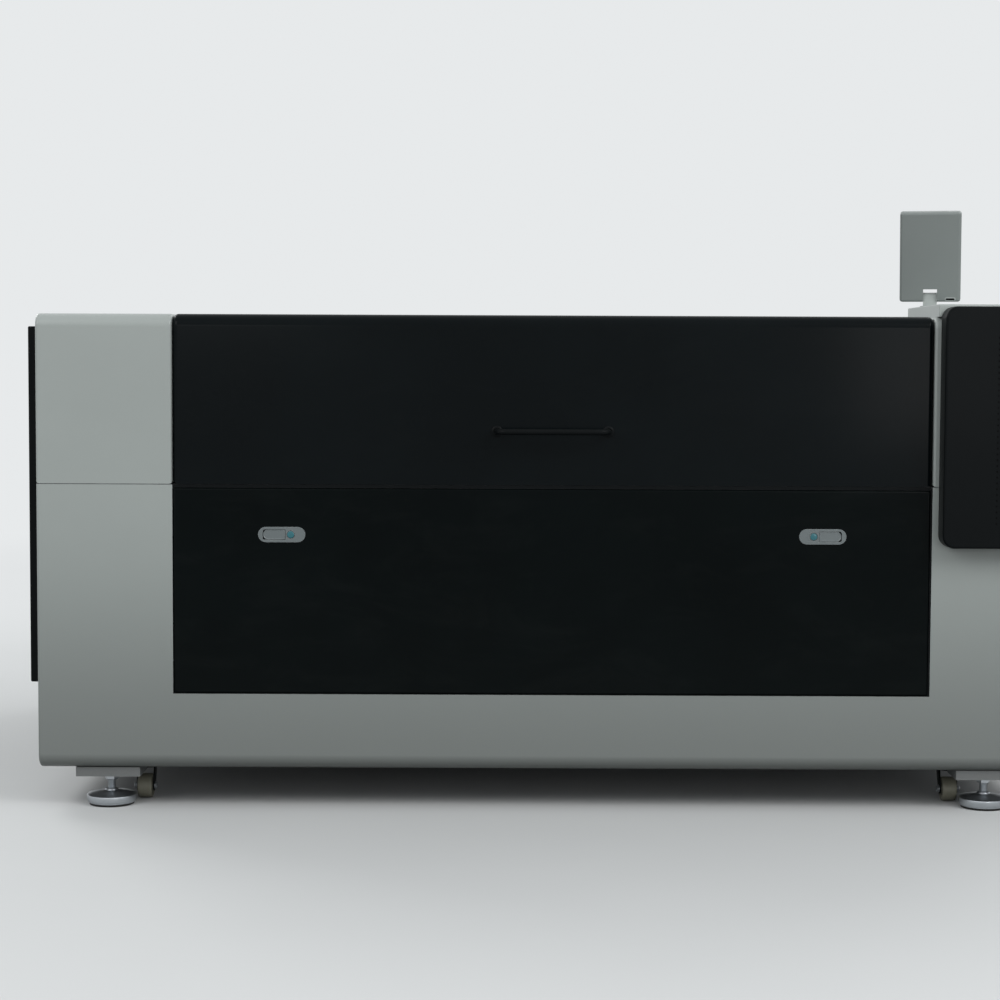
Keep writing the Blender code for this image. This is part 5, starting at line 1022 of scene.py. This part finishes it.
# The control box's vents are a field of punched 3.5 mm holes, each shown as a thin near-black disc set in the
# face, painted shade for the hole. A node tree puts the discs on a grid of points.
def spots_tree(name, *inputs):
    """An empty Geometry Nodes tree; returns it, its inputs' identifiers and its inner sockets."""
    tree = bpy.data.node_groups.new(name, "GeometryNodeTree")
    identifiers = {}
    for socket_name, kind in (("Geometry", "Geometry"), *inputs):
        socket = tree.interface.new_socket(socket_name, in_out="INPUT", socket_type="NodeSocket" + kind)
        identifiers[socket_name] = socket.identifier
    tree.interface.new_socket("Geometry", in_out="OUTPUT", socket_type="NodeSocketGeometry")
    inner, outer = tree.nodes.new("NodeGroupInput").outputs, tree.nodes.new("NodeGroupOutput").inputs
    return tree, identifiers, inner, outer


def scattered(tree, points, shape, finish):
    """The shape at every point, turned to the point's facing, as plain mesh in its finish."""
    facing = add_node(tree, "GeometryNodeInputNamedAttribute", {"Name": "facing"}, data_type="FLOAT_VECTOR")
    turn = add_node(tree, "FunctionNodeAlignRotationToVector", {"Vector": facing.outputs[0]}, axis="Z")
    placed = add_node(
        tree, "GeometryNodeInstanceOnPoints",
        {"Points": points, "Instance": shape.outputs["Mesh"], "Rotation": turn.outputs[0]},
    )
    real = add_node(tree, "GeometryNodeRealizeInstances", {0: placed.outputs[0]})
    feeds = {"Geometry": real.outputs[0], "Material": finish}
    return add_node(tree, "GeometryNodeSetMaterial", feeds).outputs[0]


def spots_piece(name, spots, tree, settings):
    """Runs a node tree on a set of (place, facing) spots and returns the plain mesh that it makes."""
    mesh = bpy.data.meshes.new(name)
    mesh.from_pydata([place for place, facing in spots], [], [])
    attribute = mesh.attributes.new("facing", "FLOAT_VECTOR", "POINT")
    for index, (place, facing) in enumerate(spots):
        attribute.data[index].vector = facing
    piece = bpy.data.objects.new(name, mesh)
    bpy.context.scene.collection.objects.link(piece)
    maker = piece.modifiers.new("maker", "NODES")
    maker.node_group = tree
    for identifier, value in settings.items():
        maker[identifier] = value
    settle(piece)
    return piece


vent_tree, vent_ids, vent_in, vent_out = spots_tree(
    "punched_vents", ("Hole Radius", "Float"), ("Depth", "Float"), ("Finish", "Material")
)
vent_disc = add_node(
    vent_tree, "GeometryNodeMeshCylinder",
    {"Vertices": 14, "Radius": vent_in["Hole Radius"], "Depth": vent_in["Depth"]},
)
vents = scattered(vent_tree, vent_in["Geometry"], vent_disc, vent_in["Finish"])
vent_tree.links.new(vents, vent_out[0])
# Painted shade: a near-black that stands for the shade inside holes, slots and screw sockets.
dark_hollow = coated(
    "dark_hollow", (0.002, 0.002, 0.002), 0.9, grain=0.001, bump=0.1, spread=0.2, dust=0.0, reach=0.01,
    wear_and_sheen=0.0, specular=0.05,
)
VENT_X, VENT_Z, VENT_STEP, VENT_RISE = 0.884, 0.590, 0.010, 0.0115
vent_spots = [
    ((VENT_X + column * VENT_STEP, control_low.y, VENT_Z + row * VENT_RISE), (0, -1, 0))
    for column in range(4) for row in range(33)
]
control_vents = spots_piece(
    "control_vents", vent_spots, vent_tree,
    {vent_ids["Hole Radius"]: 0.00175, vent_ids["Depth"]: 0.0003, vent_ids["Finish"]: dark_hollow},
)
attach(control_vents, "root")


# The controls: a red mushroom head for the emergency stop, a green start button in a bright ring, and
# a key switch with its key. Each sits on a shaft through the box, behind a bezel ring on the face.
stop_red = coated(
    "red_button_plastic", (0.52, 0.018, 0.014), 0.30, grain=0.0006, bump=0.08, spread=0.06, dust=0.12,
    reach=0.3, wear_and_sheen=0.3, bare_and_sheen=(0.62, 0.10, 0.08), specular=0.5, coat=0.2,
)
start_green = coated(
    "green_button_plastic", (0.02, 0.30, 0.09), 0.30, grain=0.0006, bump=0.08, spread=0.06, dust=0.10,
    reach=0.3, wear_and_sheen=0.3, bare_and_sheen=(0.14, 0.45, 0.2), specular=0.5, coat=0.2,
)
stop_bm = bmesh.new()
turned(
    stop_bm,
    [(0, -0.030), (0.0108, -0.030), (0.0108, 0.008), (0.0170, 0.0082), (0.0194, 0.0090), (0.0200, 0.0110),
     (0.0198, 0.0140), (0.0188, 0.0170), (0.0170, 0.0194), (0.0140, 0.0210), (0.0100, 0.0218),
     (0.0060, 0.0220), (0, 0.0220)],
    (CONTROL_X, control_low.y, STOP_Z), (0, -1, 0), 48,
)
finish_piece(new_piece("stop_mushroom", stop_bm), "stop", "red_plastic", stop_red, "emergency_stop")
start_bm = bmesh.new()
turned(
    start_bm,
    [(0, -0.030), (0.0107, -0.030), (0.0107, 0.0048), (0.0101, 0.0057), (0.0085, 0.0060), (0.0040, 0.0056),
     (0, 0.0055)],
    (CONTROL_X, control_low.y, START_Z), (0, -1, 0), 40,
)
finish_piece(new_piece("start_cap", start_bm), "start", "green_plastic", start_green, "start_button")
key_bm = bmesh.new()
turned(
    key_bm,
    [(0, -0.030), (0.0107, -0.030), (0.0107, 0.0003), (0.0140, 0.0003), (0.0140, 0.0038), (0.0130, 0.0050),
     (0.0060, 0.0050), (0.0055, 0.0042), (0, 0.0042)],
    (CONTROL_X, control_low.y, KEY_Z), (0, -1, 0), 40,
)
blade_y = control_low.y - 0.004
put_box(
    key_bm, (CONTROL_X - 0.0010, blade_y - 0.006, KEY_Z - 0.0045),
    (CONTROL_X + 0.0010, blade_y, KEY_Z + 0.0045),
)
bow_y = control_low.y - 0.0135
bow_profile = [
    (0.0035, -0.0013), (0.0045, -0.0015), (0.0070, -0.0015), (0.0083, -0.0009), (0.0083, 0.0009),
    (0.0070, 0.0015), (0.0045, 0.0015), (0.0035, 0.0013),
]
turned(key_bm, bow_profile, (CONTROL_X, bow_y, KEY_Z), (1, 0, 0), 32, closed=True)
finish_piece(new_piece("key_in_lock", key_bm), "key", "zinc", zinc_plate, "key_switch")
collar_bm = bmesh.new()
for z, inner, outer, thick in ((STOP_Z, 0.0114, 0.0185, 0.0018), (START_Z, 0.0112, 0.0150, 0.0030)):
    turned(
        collar_bm, [(inner, 0), (outer, 0), (outer, thick - 0.001), (outer - 0.0012, thick), (inner, thick)],
        (CONTROL_X, control_low.y + 0.0001, z), (0, -1, 0), 48, closed=True,
    )
finish_piece(new_piece("control_collars", collar_bm), "root", "grey_plastic", latch_grey)


# The small monitor stands behind the console box on a white round foot, turned a little to its left and
# tipped back: its grey moulded back faces the loading side and its screen faces the rear.
monitor_grey = coated(
    "grey_monitor_moulding", (0.232, 0.256, 0.249), 0.48, grain=0.0008, bump=0.18, spread=0.03, dust=0.15,
    reach=0.3, dust_colour=(0.30, 0.30, 0.28), wear_and_sheen=0.35, bare_and_sheen=(0.30, 0.32, 0.31), specular=0.4,
)
finish_copy("monitor_foot", "monitor_post", "root", "white_paint", white_coat)
finish_copy("monitor_swivel_neck", "monitor_neck", "neck", "white_paint", white_coat)
finish_copy("monitor_shell", "monitor_housing", "monitor", "grey_plastic", monitor_grey, 40.0)
glass, tree, shader = new_finish(
    "dark_screen_glass", Coat_Weight=0.6, Coat_Roughness=0.03, Specular_IOR_Level=0.5
)
glass_tone = use_group(tree, surface_grain, Vector=own_place(tree), Grain_Size=0.0009, Tone_Size=0.08)["Tone"]
glass_colour = mixed(tree, glass_tone, (0.006, 0.007, 0.009, 1.0), (0.010, 0.012, 0.015, 1.0))
tree.links.new(glass_colour, shader.inputs["Base Color"])
tree.links.new(ramp(tree, glass_tone, 0.0, 1.0, 0.05, 0.14), shader.inputs["Roughness"])
keep_node("monitor_screen", glass)

MONITOR_PLACE, TILT_Z = Vector((0.852, -0.250, 1.0003)), 0.058
MONITOR_YAW, MONITOR_TILT = math.radians(-12.0), math.radians(13.0)
monitor_turn = (
    Matrix.Translation(MONITOR_PLACE) @ Matrix.Rotation(MONITOR_YAW, 4, "Z")
    @ Matrix.Translation((0, 0, TILT_Z)) @ Matrix.Rotation(MONITOR_TILT, 4, "X")
    @ Matrix.Translation((0, 0, -TILT_Z))
)
SOCKET_X, SOCKET_Z = 0.044, 0.052
# The socket's slot is a near-black pill, painted shade for the opening under its white lip.
for piece_name, slot_name, finish, rings in (
    ("monitor_socket_lip", "white_paint", white_coat,
     ((0.024, 0.0075, -0.0128), (0.024, 0.0075, -0.0139), (0.0228, 0.0063, -0.0144))),
    ("monitor_socket_slot", "black_satin", dark_hollow, ((0.019, 0.0040, -0.0141), (0.019, 0.0040, -0.0146))),
):
    socket_bm = bmesh.new()
    put_plate(socket_bm, [(moved(pill(long, tall), SOCKET_X, SOCKET_Z), y) for long, tall, y in rings])
    socket_bm.transform(monitor_turn)
    finish_piece(new_piece(piece_name, socket_bm), "monitor", slot_name, finish)


# The black side panels stand 46 mm proud of both ends, folded from sheet with narrow round edges and a
# row of tall vents; the rear has a pressed louvre panel, a steel exhaust collar and the inlet box for the
# supply cable.
VENT_COUNT, VENT_PITCH, VENT_WIDTH, VENT_LOW, VENT_HIGH = 8, 0.040, 0.012, 0.070, 0.190
SIDE_FACE_X = 1.076
for side_name, other_side, side in (("left", "right", -1), ("right", "left", 1)):
    panel_low, panel_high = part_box(side_name + "_side_panel")
    rims = [(side_name, other) for other in ("front", "rear", "top", "bottom")]
    side_panel = folded_case(
        side_name + "_vent_panel", panel_low, panel_high, (other_side,), ((rims, 0.004, 4),)
    )
    face_x = side * SIDE_FACE_X
    vent_middles = [(index - (VENT_COUNT - 1) / 2) * VENT_PITCH for index in range(VENT_COUNT)]
    open_up(side_panel, *[
        box_cutter(
            (face_x - 0.01, middle - VENT_WIDTH / 2, panel_low.z + VENT_LOW),
            (face_x + 0.01, middle + VENT_WIDTH / 2, panel_low.z + VENT_HIGH),
        )
        for middle in vent_middles
    ])
    finish_piece(side_panel, "root", "black_satin", satin_coat, side_name + "_side_panel")
finish_copy("pressed_louvres", "rear_louvre_panel", "root", "white_paint", white_coat, 20.0)
FLANGE_Y, FLANGE_THICK, FLANGE_HALF = 0.7503, 0.003, 0.100
spigot_bm = bmesh.new()
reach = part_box("exhaust_collar")[1].y - FLANGE_Y
turned(
    spigot_bm,
    [(0.0728, 0), (0.0750, 0.0032), (0.0750, 0.014), (0.0762, 0.016), (0.0766, 0.0185), (0.0762, 0.021),
     (0.0750, 0.023), (0.0750, reach - 0.004), (0.0746, reach), (0.0734, reach), (0.0730, reach - 0.004),
     (0.0730, 0.023), (0.0742, 0.021), (0.0746, 0.0185), (0.0742, 0.016), (0.0730, 0.014)],
    (EXHAUST_X, FLANGE_Y, EXHAUST_Z), (0, 1, 0), 64, closed=True,
)
spigot = new_piece("exhaust_spigot", spigot_bm)
flange_bm = bmesh.new()
put_box(
    flange_bm, (EXHAUST_X - FLANGE_HALF, FLANGE_Y, EXHAUST_Z - FLANGE_HALF),
    (EXHAUST_X + FLANGE_HALF, FLANGE_Y + FLANGE_THICK, EXHAUST_Z + FLANGE_HALF),
)
flange_corners = [edge for edge in flange_bm.edges if abs(edge.verts[0].co.y - edge.verts[1].co.y) > 0.001]
round_edges(flange_bm, flange_corners, 0.010, 6)
flange = new_piece("exhaust_flange", flange_bm)
open_up(flange, round_cutter(0.0740, (EXHAUST_X, 0.745, EXHAUST_Z), (0, 1, 0), 0.02, 64))
finish_piece(spigot, "root", "zinc", zinc_plate, "exhaust_collar")
finish_piece(flange, "root", "zinc", zinc_plate)
finish_copy("supply_inlet", "power_inlet", "root", "black_satin", satin_coat, 40.0)


# Button-head screws hold the side panels, the rear panels and the hinge leaves. Each is a zinc-plated
# domed head, 9 mm across on the panels and 7 mm on the hinge, with its hexagon socket shown as a near-black
# hexagon, painted shade for the recess.
screw_tree, screw_ids, screw_in, screw_out = spots_tree(
    "button_head_screws", ("Head Radius", "Float"), ("Head Height", "Float"), ("Head Finish", "Material"),
    ("Socket Finish", "Material"),
)
head_radius, head_height = screw_in["Head Radius"], screw_in["Head Height"]
head = add_node(
    screw_tree, "GeometryNodeMeshCone",
    {"Vertices": 18, "Side Segments": 3, "Radius Top": calc(screw_tree, "MULTIPLY", head_radius, 0.62),
     "Radius Bottom": head_radius, "Depth": head_height},
)
socket_radius = calc(screw_tree, "MULTIPLY", head_radius, 0.34)
hexagon = add_node(
    screw_tree, "GeometryNodeMeshCone",
    {"Vertices": 6, "Radius Top": socket_radius, "Radius Bottom": socket_radius,
     "Depth": calc(screw_tree, "MULTIPLY", head_height, 1.04)},
)
both = screw_tree.nodes.new("GeometryNodeJoinGeometry")
for shape, finish_input in ((head, "Head Finish"), (hexagon, "Socket Finish")):
    branch = scattered(screw_tree, screw_in["Geometry"], shape, screw_in[finish_input])
    screw_tree.links.new(branch, both.inputs[0])
screw_tree.links.new(both.outputs[0], screw_out[0])


def screws(name, body, spots, radius, tall):
    piece = spots_piece(name, spots, screw_tree, {
        screw_ids["Head Radius"]: radius, screw_ids["Head Height"]: tall,
        screw_ids["Head Finish"]: zinc_plate, screw_ids["Socket Finish"]: dark_hollow,
    })
    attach(piece, body)


panel_spots = [
    ((side * SIDE_FACE_X, y, z), (side, 0, 0)) for side in (-1, 1)
    for y, z in [(y, z) for y in (-0.560, -0.187, 0.187, 0.560) for z in (0.268, 0.946)]
    + [(-0.572, 0.607), (0.572, 0.607)]
]
SCREW_INSET, FLANGE_SCREW, HINGE_SCREW_STEP = 0.012, 0.088, 0.110
louvre_x = (louvre_low.x + SCREW_INSET, (louvre_low.x + louvre_high.x) / 2, louvre_high.x - SCREW_INSET)
louvre_z = (louvre_low.z + SCREW_INSET, louvre_high.z - SCREW_INSET)
rear_places = [(x, louvre_high.y - 0.0090, z) for x in louvre_x for z in louvre_z]
rear_places += [
    (EXHAUST_X + x_side * FLANGE_SCREW, FLANGE_Y + FLANGE_THICK, EXHAUST_Z + z_side * FLANGE_SCREW)
    for x_side in (-1, 1) for z_side in (-1, 1)
]
rear_places += [(x, 0.7500, z) for x in (-0.70, -0.35, 0.0, 0.35, 0.70) for z in (0.690, 0.630)]
rear_spots = [(place, (0, 1, 0)) for place in rear_places]
screws("housing_screws", "root", panel_spots + rear_spots, radius=0.0045, tall=0.0024)
for name, body, leaf_y in (("cover_leaf_screws", "root", 0.472), ("lid_leaf_screws", "lid", 0.428)):
    leaf_spots = [((index * HINGE_SCREW_STEP, leaf_y, LEAF_Z[1]), (0, 0, 1)) for index in range(-5, 6)]
    screws(name, body, leaf_spots, radius=0.0035, tall=0.0018)
